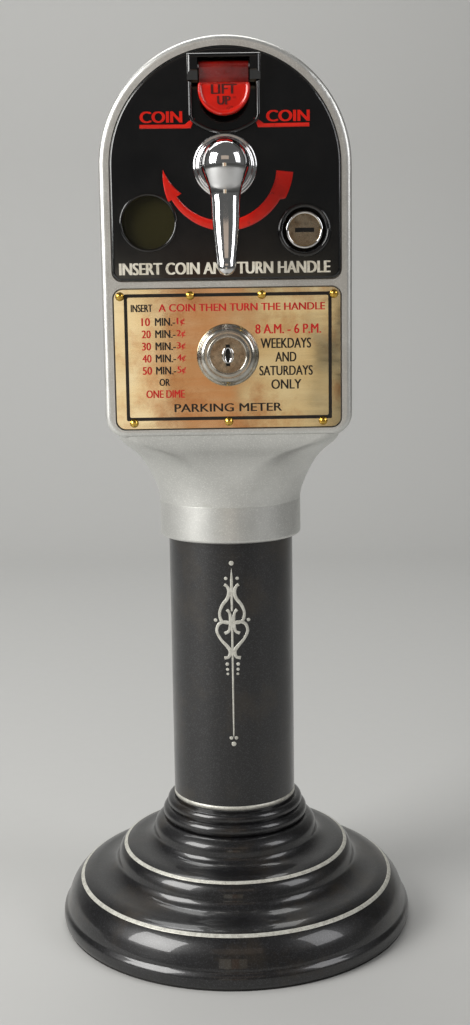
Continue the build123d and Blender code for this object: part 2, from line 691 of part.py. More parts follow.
def make_train():
    wind_phase = mesh_phase(CRANK, TIME, CRANK_TEETH, WIND_TEETH, 0.0)
    with BuildPart() as winding_gear:
        toothed_disc(TIME, WIND_TEETH, WIND_MODULE, -24.0, -21.0, wind_phase)
        disc(TIME, 3.0 + RUNNING, -30, -15, Mode.SUBTRACT)
        for angle in (45, 135, 225, 315):
            disc(polar_point(TIME, 10.0, angle), 3.2, -30, -15, Mode.SUBTRACT)
    finish(winding_gear, "winding_gear")

    with BuildPart() as pawl:
        tip = polar_point(TIME, 12.2, 200)
        post = polar_point(TIME, 14.6, 180)
        with BuildSketch(upright(-18.6)):
            with Locations(post):
                Circle(2.0)
            Polygon(polar_point(post, 1.8, 160), polar_point(post, 1.8, 20), tip, align=None)
        extrude(amount=2.4)
    finish(pawl, "pawl")

    with BuildPart() as time_arbor:
        disc(TIME, 3.0, -25.6, -20.0)
        disc(TIME, 1.5, -28.0, -25.5)
        disc(TIME, 2.4, -20.1, REAR_PLATE_Y - 0.4)
        disc(TIME, 1.5, REAR_PLATE_Y - 0.5, 30.0)
    finish(time_arbor, "time_arbor")

    with BuildPart() as ratchet_wheel:
        saw_disc(TIME, 30, 9.0, 11.4, -19.6, -17.4)
        disc(TIME, 2.4, -30, -10, Mode.SUBTRACT)
    finish(ratchet_wheel, "ratchet_wheel")

    with BuildPart() as mainspring:
        spiral_ribbon(TIME, 3.4, 15.0, 5.0, 0.6, -14.0, -4.0)
    finish(mainspring, "mainspring")

    great_phase = 0.0
    with BuildPart() as great_wheel:
        toothed_disc(TIME, GREAT_TEETH, TRAIN_MODULE, 0.0, 2.0, great_phase)
        disc(TIME, 2.4, -5, 5, Mode.SUBTRACT)
        for angle in range(0, 360, 72):
            disc(polar_point(TIME, 10.0, angle), 4.0, -5, 5, Mode.SUBTRACT)
    finish(great_wheel, "great_wheel")

    pinion_phase = mesh_phase(TIME, SECOND, GREAT_TEETH, SECOND_PINION, great_phase)
    with BuildPart() as second_wheel:
        toothed_disc(SECOND, SECOND_PINION, TRAIN_MODULE, -0.6, 2.6, pinion_phase)
        disc(SECOND, 1.5, FRONT_PLATE_Y, REAR_PLATE_Y + 2)
        disc(SECOND, 3.0, 2.5, 5.0)
        toothed_disc(SECOND, SECOND_TEETH, SLOW_MODULE, 5.0, 6.4, 0.0)
        for angle in range(0, 360, 72):
            disc(polar_point(SECOND, 9.0, angle), 3.4, 4, 8, Mode.SUBTRACT)
    finish(second_wheel, "second_wheel")

    slow_phase = mesh_phase(SECOND, ESCAPE, SECOND_TEETH, ESCAPE_PINION, 0.0)
    with BuildPart() as escape_wheel:
        toothed_disc(ESCAPE, ESCAPE_PINION, SLOW_MODULE, 4.6, 6.8, slow_phase)
        disc(ESCAPE, 1.5, FRONT_PLATE_Y, REAR_PLATE_Y + 2)
        saw_disc(ESCAPE, 15, 6.4, 8.6, 9.0, 10.4)
        for angle in range(0, 360, 90):
            disc(polar_point(ESCAPE, 4.2, angle), 1.5, 8, 12, Mode.SUBTRACT)
    finish(escape_wheel, "escape_wheel")

    with BuildPart() as pallet_lever:
        disc(LEVER, 1.5, FRONT_PLATE_Y, REAR_PLATE_Y + 2)
        with BuildSketch(upright(12.4)):
            with Locations(LEVER):
                Circle(2.6)
            slim_bar(LEVER, BALANCE, 2.0, 7.0)
        extrude(amount=1.2)
    finish(pallet_lever, "pallet_lever")

    with BuildPart() as balance_wheel:
        disc(BALANCE, 9.0, 13.6, 15.6)
        disc(BALANCE, 7.2, 13, 16, Mode.SUBTRACT)
        disc(BALANCE, 2.2, 13.6, 15.6)
        block(BALANCE[0] - 7.6, BALANCE[0] + 7.6, 13.6, 15.6, BALANCE[1] - 1.0, BALANCE[1] + 1.0)
        disc(BALANCE, 1.5, FRONT_PLATE_Y, REAR_PLATE_Y + 2)
    finish(balance_wheel, "balance_wheel")


def slim_bar(start, end, width, length):
    """A straight bar of that width, from start towards end."""
    angle = direction(start, end)
    across = angle + 90
    far = polar_point(start, length, angle)
    corners = [
        polar_point(start, width / 2, across),
        polar_point(far, width / 2, across),
        polar_point(far, -width / 2, across),
        polar_point(start, -width / 2, across),
    ]
    Polygon(*corners, align=None)


def saw_disc(centre, teeth, root, tip, y_front, y_back):
    """A ratchet or escape wheel: each tooth rises slowly and drops straight."""
    points = []
    for k in range(teeth):
        angle = 360 * k / teeth
        points.append((root * cos(radians(angle)), root * sin(radians(angle))))
        points.append((tip * cos(radians(angle + 300 / teeth)), tip * sin(radians(angle + 300 / teeth))))
    with BuildSketch(upright(y_back)) as outline:
        with Locations(centre):
            Polygon(*points, align=None)
    extrude(outline.sketch, amount=y_back - y_front)


def make_dial():
    with BuildPart() as dial:
        arch_slab(41.0, 331.0, 6.0, DIAL_Y, DIAL_Y + 1.0, WINDOW_SPRING)
        disc(TIME, 2.0, DIAL_Y - 1, DIAL_Y + 2, Mode.SUBTRACT)
        disc(FLAG, 1.5 + RUNNING, DIAL_Y - 1, DIAL_Y + 2, Mode.SUBTRACT)
    finish(dial, "dial")
    with BuildPart() as dial_posts:
        for spot in ((-37.0, 343.0), (36.0, 338.0), (0.0, 379.0)):
            disc(spot, 2.0, REAR_PLATE_Y + MOVEMENT_PLATE, DIAL_Y)
    finish(dial_posts, "dial_posts")
    with BuildPart() as time_hand:
        disc(TIME, 3.6, 28.0, 29.4)
        with BuildSketch(upright(29.0)):
            Polygon(
                (TIME[0] + 2.0, TIME[1] + 1.6),
                (TIME[0] + 26.0, TIME[1] + 0.3),
                (TIME[0] + 26.0, TIME[1] - 0.3),
                (TIME[0] + 2.0, TIME[1] - 1.6),
                align=None,
            )
        extrude(amount=0.8)
        disc(TIME, 1.5, 27, 31, Mode.SUBTRACT)
    finish(time_hand, "time_hand")
    with BuildPart() as expired_flag:
        disc(FLAG, 1.5, REAR_PLATE_Y - 2, 31.4)
        disc(FLAG, 2.8, 30.4, 31.8)
        with BuildSketch(upright(31.4)):
            Polygon(
                (FLAG[0] - 1.6, FLAG[1]),
                (FLAG[0] + 1.6, FLAG[1]),
                (FLAG[0] + 3.0, FLAG[1] + 13.0),
                (FLAG[0] + 16.0, FLAG[1] + 13.0),
                (FLAG[0] + 16.0, FLAG[1] + 22.0),
                (FLAG[0] - 1.6, FLAG[1] + 19.0),
                align=None,
            )
        extrude(amount=1.0)
    finish(expired_flag, "expired_flag")


# ---------------------------------------------------------------- locks
def keyhole(centre, y_front, depth, upright_slot=True):
    """The key slot cut into a plug's face."""
    x, z = centre
    tall, wide = (9.6, 1.9) if upright_slot else (1.9, 8.4)
    block(x - wide / 2, x + wide / 2, y_front - 1, y_front + depth, z - tall / 2, z + tall / 2, Mode.SUBTRACT)


def make_side_lock():
    x, z = SIDE_LOCK
    with BuildPart() as side_lock_ring:
        disc(SIDE_LOCK, 11.2, PLATE_FRONT - 1.4, PLATE_FRONT)
        disc(SIDE_LOCK, 9.6, PLATE_FRONT - 2.6, PLATE_FRONT - 1.3)
        fillet(side_lock_ring.edges().filter_by_position(Axis.Y, PLATE_FRONT - 1.4, PLATE_FRONT - 1.4), 0.6)
        fillet(side_lock_ring.edges().filter_by_position(Axis.Y, PLATE_FRONT - 2.6, PLATE_FRONT - 2.6), 0.5)
        disc(SIDE_LOCK, 8.2, -60, -40, Mode.SUBTRACT)
    finish(side_lock_ring, "side_lock_ring")
    with BuildPart() as side_lock_body:
        disc(SIDE_LOCK, 8.1, PLATE_FRONT - 1.8, LIP_BACK)
        disc(SIDE_LOCK, 6.8 + RUNNING, -60, -30, Mode.SUBTRACT)
    finish(side_lock_body, "side_lock_body")
    with BuildPart() as side_lock_nut:
        with BuildSketch(upright(PLATE_BACK + 2.4)):
            with Locations(SIDE_LOCK):
                RegularPolygon(11.5, 6)
                Circle(8.12, mode=Mode.SUBTRACT)
        extrude(amount=2.4)
    finish(side_lock_nut, "side_lock_nut")
    with BuildPart() as side_lock_plug:
        disc(SIDE_LOCK, 6.8, PLATE_FRONT - 1.4, LIP_BACK)
        keyhole(SIDE_LOCK, PLATE_FRONT - 1.4, 6.0, upright_slot=False)
        disc(SIDE_LOCK, 2.6, LIP_BACK - 0.1, BAR_BACK + 0.2)
    finish(side_lock_plug, "side_lock_plug")
    with BuildPart() as side_lock_cam:
        with BuildSketch(upright(BAR_BACK)):
            with Locations(SIDE_LOCK):
                Circle(5.4)
            with Locations((x, z - 8.0)):
                Rectangle(8.0, 16.0)
            with Locations(SIDE_LOCK):
                Circle(2.62, mode=Mode.SUBTRACT)
        extrude(amount=BAR_BACK - BAR_FRONT)
    finish(side_lock_cam, "side_lock_cam")


def make_door():
    x, z = DOOR_LOCK
    with BuildPart() as coin_door:
        panel_slab(50.4, LOWER_FLOOR + 0.5, LOWER_CEILING - 0.5, 4.2, DOOR_FRONT, DOOR_BACK)
        disc(DOOR_LOCK, 9.7, -60, -40, Mode.SUBTRACT)
        for spot in PLATE_SCREWS:
            disc(spot, 1.0, -60, -40, Mode.SUBTRACT)
    finish(coin_door, "coin_door")
    with BuildPart() as rate_plate:
        panel_slab(50.3, LOWER_FLOOR + 0.6, LOWER_CEILING - 0.6, 4.1, DOOR_FRONT - 0.8, DOOR_FRONT)
        disc(DOOR_LOCK, 9.7, -60, -40, Mode.SUBTRACT)
        for spot in PLATE_SCREWS:
            disc(spot, 1.0, -60, -40, Mode.SUBTRACT)
    finish(rate_plate, "rate_plate")
    with BuildPart() as plate_screws:
        for px, pz in PLATE_SCREWS:
            with Locations((px, DOOR_FRONT - 0.8, pz)):
                Sphere(2.0)
        block(-60, 60, DOOR_FRONT - 0.8, -40, 240, 330, Mode.SUBTRACT)
        for px, pz in PLATE_SCREWS:
            disc((px, pz), 0.98, DOOR_FRONT - 0.9, DOOR_BACK - 0.4)
            block(px - 2.2, px + 2.2, DOOR_FRONT - 3.4, DOOR_FRONT - 2.2, pz - 0.25, pz + 0.25, Mode.SUBTRACT)
    finish(plate_screws, "plate_screws")

    with BuildPart() as door_lock_body:
        disc(DOOR_LOCK, 13.4, DOOR_FRONT - 2.0, DOOR_FRONT - 0.8)
        disc(DOOR_LOCK, 11.6, DOOR_FRONT - 4.6, DOOR_FRONT - 1.9)
        fillet(door_lock_body.edges().filter_by_position(Axis.Y, DOOR_FRONT - 2, DOOR_FRONT - 2), 0.5)
        chamfer(door_lock_body.edges().filter_by_position(Axis.Y, DOOR_FRONT - 4.6, DOOR_FRONT - 4.6), 1.8)
        disc(DOOR_LOCK, 9.6, DOOR_FRONT - 1.0, LIP_BACK)
        disc(DOOR_LOCK, 7.8 + RUNNING, -60, -30, Mode.SUBTRACT)
    finish(door_lock_body, "door_lock_body")
    with BuildPart() as door_lock_nut:
        with BuildSketch(upright(DOOR_BACK + 2.4)):
            with Locations(DOOR_LOCK):
                RegularPolygon(13.5, 6)
                Circle(9.62, mode=Mode.SUBTRACT)
        extrude(amount=2.4)
    finish(door_lock_nut, "door_lock_nut")
    with BuildPart() as door_lock_plug:
        disc(DOOR_LOCK, 7.8, DOOR_FRONT - 3.8, LIP_BACK)
        keyhole(DOOR_LOCK, DOOR_FRONT - 3.8, 8.0)
        disc(DOOR_LOCK, 3.0, LIP_BACK - 0.1, BAR_BACK + 0.2)
    finish(door_lock_plug, "door_lock_plug")
    with BuildPart() as door_lock_bar:
        with BuildSketch(upright(BAR_BACK)):
            with Locations(DOOR_LOCK):
                Rectangle(57.6, 8.0)
                Circle(6.6)
                Circle(3.02, mode=Mode.SUBTRACT)
        extrude(amount=BAR_BACK - BAR_FRONT)
    finish(door_lock_bar, "door_lock_bar")


PLATE_SCREWS = (
    (-47.6, 311.0),
    (-16.4, 311.0),
    (15.4, 311.0),
    (47.4, 311.0),
    (-42.6, 254.6),
    (0.0, 254.8),
    (42.4, 254.6),
)


def make_coin_box():
    with BuildPart() as coin_box:
        block(-44.0, 44.0, -33.0, 38.0, 258.7, 303.0)
        fillet(coin_box.edges().filter_by(Axis.Z), 4.0)
        fillet(coin_box.edges().group_by(Axis.Z)[0], 2.0)
        block(-42.6, 42.6, -31.6, 36.6, 260.1, 305.0, Mode.SUBTRACT)
    finish(coin_box, "coin_box")
    with BuildPart() as coin_box_arms:
        for side in (-1, 1):
            inner, outer = sorted((side * 36.0, side * 42.0))
            block(inner, outer, DOOR_BACK, DOOR_BACK + 1.4, 268.0, 296.0)
            inner, outer = sorted((side * 36.0, side * 37.4))
            block(inner, outer, DOOR_BACK + 1.3, -34.4, 268.0, 296.0)
            inner, outer = sorted((side * 36.0, side * 42.0))
            block(inner, outer, -34.4, -33.0, 268.0, 296.0)
    finish(coin_box_arms, "coin_box_arms")


def main():
    os.makedirs("parts", exist_ok=True)
    for make in (
        make_foot_ring,
        make_base,
        make_base_collar,
        make_post,
        make_base_lock_nut,
        make_housing,
        make_collar_screws,
        make_rear_window,
        make_coin_guide,
        make_faceplate,
        make_faceplate_gasket,
        make_coin_pocket,
        make_coin_chute,
        make_coin_window,
        make_flap,
        make_crank,
        make_movement,
        make_train,
        make_dial,
        make_side_lock,
        make_door,
        make_coin_box,
    ):
        make()


main()
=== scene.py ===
import math
import bpy
import bmesh
import numpy as np
from mathutils import Matrix, Vector


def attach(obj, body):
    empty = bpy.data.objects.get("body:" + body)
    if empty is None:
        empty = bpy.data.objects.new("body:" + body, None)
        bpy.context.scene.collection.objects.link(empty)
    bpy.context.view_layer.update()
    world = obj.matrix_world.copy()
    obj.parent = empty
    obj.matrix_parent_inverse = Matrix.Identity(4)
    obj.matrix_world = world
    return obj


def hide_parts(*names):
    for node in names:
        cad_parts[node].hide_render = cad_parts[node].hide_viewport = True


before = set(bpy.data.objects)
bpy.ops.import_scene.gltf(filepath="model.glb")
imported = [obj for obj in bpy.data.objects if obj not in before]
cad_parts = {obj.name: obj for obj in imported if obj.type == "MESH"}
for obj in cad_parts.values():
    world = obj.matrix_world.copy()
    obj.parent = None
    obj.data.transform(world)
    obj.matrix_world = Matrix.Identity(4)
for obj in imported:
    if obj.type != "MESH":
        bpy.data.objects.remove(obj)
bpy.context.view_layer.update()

mm = 0.001
scene = bpy.context.scene
print("frame loaded:", len(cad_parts), "nodes")


def toLinear(hexColour):
    # each sRGB channel to linear light
    share = np.array([int(hexColour[i:i + 2], 16) / 255 for i in (1, 3, 5)])
    linear = np.where(share <= 0.04045, share / 12.92, ((share + 0.055) / 1.055) ** 2.4)
    return (*linear.tolist(), 1.0)


# camera: straight in front, level with the lower edge of the black plate and tilted down a little;
# lengths in millimetres, angles in degrees, clip in metres
cameraSet = {
    "distance": 675.8, "height": 317.7, "down": 9.44, "aside": 0.19, "roll": -0.86, "lens": 49.17,
    "sensor": 36.0, "clip": (0.02, 20.0),
}


def addCamera(s):
    lens = bpy.data.cameras.new("camera")
    lens.sensor_width = s["sensor"]
    lens.lens = s["lens"]
    lens.clip_start, lens.clip_end = s["clip"]
    camera = bpy.data.objects.new("camera", lens)
    camera.location = (0.0, -s["distance"] * mm, s["height"] * mm)
    aim = math.radians(s["aside"])
    down = math.radians(s["down"])
    ahead = Vector((math.sin(aim) * math.cos(down), math.cos(aim) * math.cos(down), -math.sin(down)))
    right = Vector((math.cos(aim), -math.sin(aim), 0))
    up = right.cross(ahead)
    roll = math.radians(s["roll"])
    sideways = right * math.cos(roll) + up * math.sin(roll)
    upwards = up * math.cos(roll) - right * math.sin(roll)
    camera.rotation_euler = Matrix((sideways, upwards, -ahead)).transposed().to_euler()
    scene.collection.objects.link(camera)
    scene.camera = camera


addCamera(cameraSet)


# finishes: one shader each, built from the values that the finish names
def addNode(tree, kind, inputs=None, links=None, **props):
    node = tree.nodes.new(kind)
    for name, value in props.items():
        setattr(node, name, value)
    for name, value in (inputs or {}).items():
        node.inputs[name].default_value = value
    for name, source in (links or {}).items():
        tree.links.new(source, node.inputs[name])
    return node


def addNoise(tree, size, place, detail, roughness):
    # cloudy noise whose patches are about that many millimetres across
    inputs = {"Scale": 1000 / size, "Detail": detail, "Roughness": roughness}
    return addNode(tree, "ShaderNodeTexNoise", inputs, {"Vector": place}).outputs["Fac"]


def addRange(tree, value, low, high, least=0.0, most=1.0):
    # low to high becomes least to most, and stays flat beyond both
    inputs = {"From Min": low, "From Max": high, "To Min": least, "To Max": most}
    return addNode(tree, "ShaderNodeMapRange", inputs, {"Value": value}).outputs["Result"]


def addColourOver(tree, share, shade, hexColour):
    # a second colour over the shade, as strong as the share
    node = addNode(tree, "ShaderNodeMix", links={"Factor": share}, data_type="RGBA")
    tree.links.new(shade, node.inputs[6])
    node.inputs[7].default_value = toLinear(hexColour)
    return node.outputs[2]


def addRelief(tree, height, depth):
    return addNode(tree, "ShaderNodeBump", {"Strength": 1.0, "Distance": depth * mm}, {"Height": height})


# mottle, smudge, grain, flake and waveSize are sizes of a pattern, depth and wave are heights of relief,
# all in millimetres; rough runs from the shiniest to the dullest; wear is a second colour in patches
finishDefaults = {
    "colours": ("#808080", "#909090"), "mottle": 12.0, "metallic": 0.0, "rough": (0.3, 0.4), "smudge": 9.0,
    "grain": 0.5, "depth": 0.01, "stretch": (1, 1, 1), "coat": 0.0, "coatRough": 0.05, "flake": 0.0,
    "flakeColour": "#ffffff", "flakeShare": 0.2, "wave": 0.0, "waveSize": 20.0, "wear": None, "ior": None,
}


def makeFinish(name, **changes):
    s = {**finishDefaults, **changes}
    material = bpy.data.materials.new(name)
    material.use_nodes = True
    tree = material.node_tree
    shader = tree.nodes["Principled BSDF"]
    shader.inputs["Metallic"].default_value = s["metallic"]
    shader.inputs["Coat Weight"].default_value = s["coat"]
    shader.inputs["Coat Roughness"].default_value = s["coatRough"]
    if s["ior"]:
        shader.inputs["IOR"].default_value = s["ior"]
    place = addNode(tree, "ShaderNodeTexCoord").outputs["Object"]
    drawn = addNode(tree, "ShaderNodeMapping", {"Scale": s["stretch"]}, {"Vector": place}).outputs["Vector"]

    # the two colours in soft clouds
    spread = addRange(tree, addNoise(tree, s["mottle"], place, 4.0, 0.6), 0.35, 0.65)
    clouds = addNode(tree, "ShaderNodeMix", links={"Factor": spread}, data_type="RGBA")
    clouds.inputs[6].default_value = toLinear(s["colours"][0])
    clouds.inputs[7].default_value = toLinear(s["colours"][1])
    shade = clouds.outputs[2]
    if s["flake"]:
        # small cells, of which the share with the highest random red shows the flake's colour
        cells = addNode(tree, "ShaderNodeTexVoronoi", {"Scale": 1000 / s["flake"]}, {"Vector": place})
        pick = addNode(tree, "ShaderNodeSeparateColor", links={"Color": cells.outputs["Color"]})
        lit = addRange(tree, pick.outputs["Red"], 1 - s["flakeShare"], 1.0)
        shade = addColourOver(tree, lit, shade, s["flakeColour"])
    if s["wear"]:
        # patches where the noise passes a level, softened over an edge
        wear = s["wear"]
        patch = addNoise(tree, wear["size"], place, 6.0, 0.7)
        share = addRange(tree, patch, wear["from"], wear["from"] + wear["edge"], 0.0, wear["most"])
        shade = addColourOver(tree, share, shade, wear["colour"])
    tree.links.new(shade, shader.inputs["Base Color"])

    # gloss that changes in smears
    smudge = addNoise(tree, s["smudge"], drawn, 5.0, 0.65)
    tree.links.new(addRange(tree, smudge, 0.3, 0.7, *s["rough"]), shader.inputs["Roughness"])

    # fine relief, over a slow swell where the surface has one
    relief = addRelief(tree, addNoise(tree, s["grain"], drawn, 3.0, 0.6), s["depth"])
    if s["wave"]:
        swell = addRelief(tree, addNoise(tree, s["waveSize"], place, 1.0, 0.5), s["wave"])
        tree.links.new(swell.outputs["Normal"], relief.inputs["Normal"])
    tree.links.new(relief.outputs["Normal"], shader.inputs["Normal"])
    return material


# silver paint over a sand casting: bright, satin, with a fine orange peel
castAluminium = makeFinish(
    "paintedCastAluminium", colours=("#cfcfcb", "#dbdbd7"), mottle=30, metallic=0.8, rough=(0.32, 0.42),
    smudge=16,
    grain=0.8, depth=0.02, flake=0.4, flakeColour="#e6e6e2", flakeShare=0.3,
    wear={"size": 9, "from": 0.6, "edge": 0.12, "most": 0.2, "colour": "#a9a698"},
)
# baked black enamel: nearly a mirror, with the faint swell of a sprayed coat and dust-fine pits
blackEnamel = makeFinish(
    "bakedBlackEnamel", colours=("#050506", "#0b0b0c"), mottle=18, rough=(0.09, 0.2), smudge=14,
    grain=1.6, depth=0.008, coat=0.6, coatRough=0.06, wave=0.05, waveSize=14,
)
# dark paint full of aluminium flake under a clear coat, a little browned with age
flakeEnamel = makeFinish(
    "metalFlakeEnamel", colours=("#0a0a0c", "#100f10"), mottle=35, metallic=0.1, rough=(0.28, 0.38),
    smudge=20,
    grain=1.2, depth=0.006, coat=0.6, coatRough=0.05, flake=0.4, flakeColour="#2c2c2f", flakeShare=0.35,
    wave=0.03, waveSize=25, wear={"size": 34, "from": 0.52, "edge": 0.16, "most": 0.55, "colour": "#332b20"},
)
# plated and buffed: mirror bright with hairline scratches and faint pits
polishedChrome = makeFinish(
    "polishedChrome", colours=("#dcdcdc", "#e9e9ea"), mottle=10, metallic=1.0, rough=(0.04, 0.11), smudge=5,
    grain=0.7, depth=0.003, wear={"size": 5, "from": 0.66, "edge": 0.06, "most": 0.3, "colour": "#8d8a84"},
)
# polished sheet, lacquered: mirror with slow ripples and warm tarnish clouds
polishedBrass = makeFinish(
    "polishedSheetBrass", colours=("#e9dfc2", "#dbc7a0"), mottle=30, metallic=1.0, rough=(0.06, 0.14),
    smudge=9,
    grain=0.8, depth=0.002, stretch=(0.2, 1, 2.5), wave=0.35, waveSize=30,
    wear={"size": 26, "from": 0.5, "edge": 0.2, "most": 0.7, "colour": "#bb8153"},
)
# turned screw heads: yellow, bright, small tool marks
screwBrass = makeFinish(
    "turnedBrass", colours=("#d9b75c", "#c49b42"), mottle=2.5, metallic=1.0, rough=(0.12, 0.24), smudge=2,
    grain=0.4, depth=0.006, wear={"size": 2.2, "from": 0.6, "edge": 0.1, "most": 0.6, "colour": "#6d5220"},
)
# clock plates: brushed one way
clockBrass = makeFinish(
    "brushedClockBrass", colours=("#c9a55a", "#b58f45"), mottle=14, metallic=1.0, rough=(0.22, 0.36),
    smudge=6,
    grain=0.5, depth=0.01, stretch=(0.15, 1, 3),
)
# nickel on turned brass: warm grey, satin from handling
wornNickel = makeFinish(
    "platedNickel", colours=("#c6c3bb", "#aaa69c"), mottle=6, metallic=1.0, rough=(0.14, 0.28), smudge=3,
    grain=0.5, depth=0.006, wear={"size": 3, "from": 0.58, "edge": 0.1, "most": 0.45, "colour": "#6b655a"},
)
# nickel worn dull by keys: warm grey-brown, little shine
plugNickel = makeFinish(
    "dulledNickel", colours=("#b5aa98", "#96846f"), mottle=4, metallic=1.0, rough=(0.2, 0.34), smudge=2,
    grain=0.4, depth=0.01, wear={"size": 2.5, "from": 0.55, "edge": 0.1, "most": 0.5, "colour": "#554d40"},
)
# bright zinc plate on stamped steel
zincSteel = makeFinish(
    "zincPlatedSteel", colours=("#a9adb2", "#8f9498"), mottle=8, metallic=1.0, rough=(0.28, 0.42), smudge=5,
    grain=0.5, depth=0.01,
)
# painted shade in a keyway: a nearly black finish that stands for the dark inside the keyway
keywayShadeSteel = makeFinish(
    "keywayShadeSteel", colours=("#060606", "#0c0b0a"), mottle=2, metallic=0.3, rough=(0.4, 0.6), smudge=1.5,
    grain=0.3, depth=0.01,
)
# spring steel tempered blue
bluedSteel = makeFinish(
    "bluedSpringSteel", colours=("#2b3550", "#3b4152"), mottle=6, metallic=1.0, rough=(0.25, 0.35), smudge=4,
    grain=0.4, depth=0.006,
)
# bare iron, grey-brown and rough from the sand
sandCastIron = makeFinish(
    "sandCastIron", colours=("#34312e", "#45413c"), mottle=12, metallic=0.6, rough=(0.5, 0.7), smudge=8,
    grain=0.8, depth=0.06, wear={"size": 9, "from": 0.55, "edge": 0.1, "most": 0.6, "colour": "#5a3a24"},
)
# signal red enamel, thick and glossy, darker where it thins
redEnamel = makeFinish(
    "signalRedEnamel", colours=("#d01a08", "#bb1407"), mottle=9, rough=(0.16, 0.28), smudge=5,
    grain=0.9, depth=0.01, coat=0.4, coatRough=0.1, wear={"size": 3, "from": 0.62, "edge": 0.06, "most": 0.6,
                                                          "colour": "#5a0806"},
)
# the leaf under the hood: the same enamel painted a darker red, as painted shade for the hood's shadow on it
shadedRed = makeFinish(
    "paintedShadeRedEnamel", colours=("#7d0d06", "#5c0805"), mottle=7, rough=(0.2, 0.34), smudge=5, grain=0.9,
    depth=0.01,
    coat=0.3, coatRough=0.12,
)
# dirt settled in cut letters: nearly black, with the red still showing
darkRedPaint = makeFinish(
    "stainedLettering", colours=("#3a0503", "#4d0805"), mottle=2, rough=(0.35, 0.5), smudge=2, grain=0.3,
    depth=0.01,
)
# screened red print on brass: satin, rubbed through to tan in specks
redPaint = makeFinish(
    "letteringRed", colours=("#c01d1c", "#ab1815"), mottle=4, rough=(0.3, 0.45), smudge=3, grain=0.4,
    depth=0.006,
    wear={"size": 1.6, "from": 0.64, "edge": 0.08, "most": 0.4, "colour": "#a5734a"},
)
# screened black print: satin, a little uneven
blackPaint = makeFinish(
    "letteringBlack", colours=("#0d0b0a", "#1a1613"), mottle=4, rough=(0.25, 0.4), smudge=3, grain=0.4,
    depth=0.006,
)
# aged white filling of raised letters: cream, chipped to grey-brown in specks
whitePaint = makeFinish(
    "letteringWhite", colours=("#e2ddcf", "#c9c2b0"), mottle=3, rough=(0.3, 0.45), smudge=3, grain=0.4,
    depth=0.01,
    wear={"size": 2.2, "from": 0.6, "edge": 0.07, "most": 0.55, "colour": "#5c564c"},
)
# hand-drawn aluminium bronze paint: pale silver, a little streaked
stripePaint = makeFinish(
    "silverLiningPaint", colours=("#d6d5cc", "#b4b2a9"), mottle=2.2, metallic=0.4, rough=(0.35, 0.5),
    smudge=3,
    grain=0.4, depth=0.02, flake=0.35, flakeColour="#dedcd2", flakeShare=0.3,
)
# cream dial paint: satin, yellowed in soft patches
dialEnamel = makeFinish(
    "dialEnamel", colours=("#e6e1d2", "#ddd6c3"), mottle=20, rough=(0.3, 0.4), smudge=8, grain=0.8,
    depth=0.006,
    wear={"size": 14, "from": 0.6, "edge": 0.12, "most": 0.35, "colour": "#b9a77f"},
)
# moulded black rubber: dull, with no clear highlight
softRubber = makeFinish(
    "mouldedRubber", colours=("#141414", "#1d1c1b"), mottle=8, rough=(0.6, 0.8), smudge=5, grain=0.4,
    depth=0.02,
)


def makeGlass(name, colour, rough, alpha):
    # a tinted pane that lets through what its alpha leaves, with wipe marks in the gloss
    material = makeFinish(name, colours=(colour, colour), rough=rough, smudge=12, grain=2.0, depth=0.001,
                          ior=1.5)
    shader = material.node_tree.nodes["Principled BSDF"]
    shader.inputs["Alpha"].default_value = alpha
    return material


# thick aged lens: olive, nearly opaque, glossy
darkGlass = makeGlass("agedOliveGlass", "#33301a", (0.05, 0.14), 0.8)
# clear window glass: almost all shows through, sharp highlights
clearGlass = makeGlass("windowGlass", "#c9d2cc", (0.03, 0.1), 0.08)

nodeFinish = {
    castAluminium: ["housing"],
    flakeEnamel: ["base", "base_collar", "post"],
    blackEnamel: ["faceplate", "coin_pocket"],
    polishedChrome: ["crank_handle", "crank_escutcheon", "side_lock_ring", "rear_bezel", "rear_bezel_screws"],
    polishedBrass: ["rate_plate"],
    screwBrass: ["plate_screws", "crank_bushing", "movement_pillars", "dial_posts", "side_lock_body",
                 "balance_wheel"],
    clockBrass: [
        "front_movement_plate", "rear_movement_plate", "crank_gear", "winding_gear", "great_wheel",
        "second_wheel",
        "escape_wheel",
    ],
    wornNickel: ["door_lock_body"],
    plugNickel: ["side_lock_plug", "door_lock_plug"],
    zincSteel: [
        "glass_clips", "coin_guide", "coin_chute", "flap_pin", "side_lock_nut", "crank_shaft", "stop_arm",
        "coin_box",
        "coin_box_arms", "door_lock_nut", "side_lock_cam", "door_lock_bar", "collar_screws",
        "movement_screws",
    ],
    bluedSteel: ["return_spring", "mainspring", "pawl", "time_arbor", "ratchet_wheel", "pallet_lever"],
    sandCastIron: ["base_lock_nut", "coin_door"],
    redEnamel: ["flap", "time_hand", "expired_flag"],
    dialEnamel: ["dial"],
    softRubber: ["foot_ring", "rear_gasket", "faceplate_gasket", "window_seal"],
    darkGlass: ["window_glass"],
    clearGlass: ["rear_glass"],
}
for finish, names in nodeFinish.items():
    for name in names:
        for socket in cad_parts[name].material_slots:
            socket.material = finish
print("materials on the carried-over nodes")


# shapes are grids of points in millimetres, made into meshes in metres
def gridFaces(rows, columns, closeRows, closeColumns, capEnds):
    # quads between neighbours on a rows by columns grid, optionally closed round, with flat end caps
    r = np.arange(rows if closeRows else rows - 1)
    c = np.arange(columns if closeColumns else columns - 1)
    r, c = np.meshgrid(r, c, indexing="ij")
    r2, c2 = (r + 1) % rows, (c + 1) % columns
    quads = np.stack([r * columns + c, r * columns + c2, r2 * columns + c2, r2 * columns + c], -1).reshape(-1,
                                                                                                           4)
    faces = quads.tolist()
    if capEnds:
        faces.append(list(range(columns)))
        faces.append(list(range(rows * columns - 1, (rows - 1) * columns - 1, -1)))
    return faces


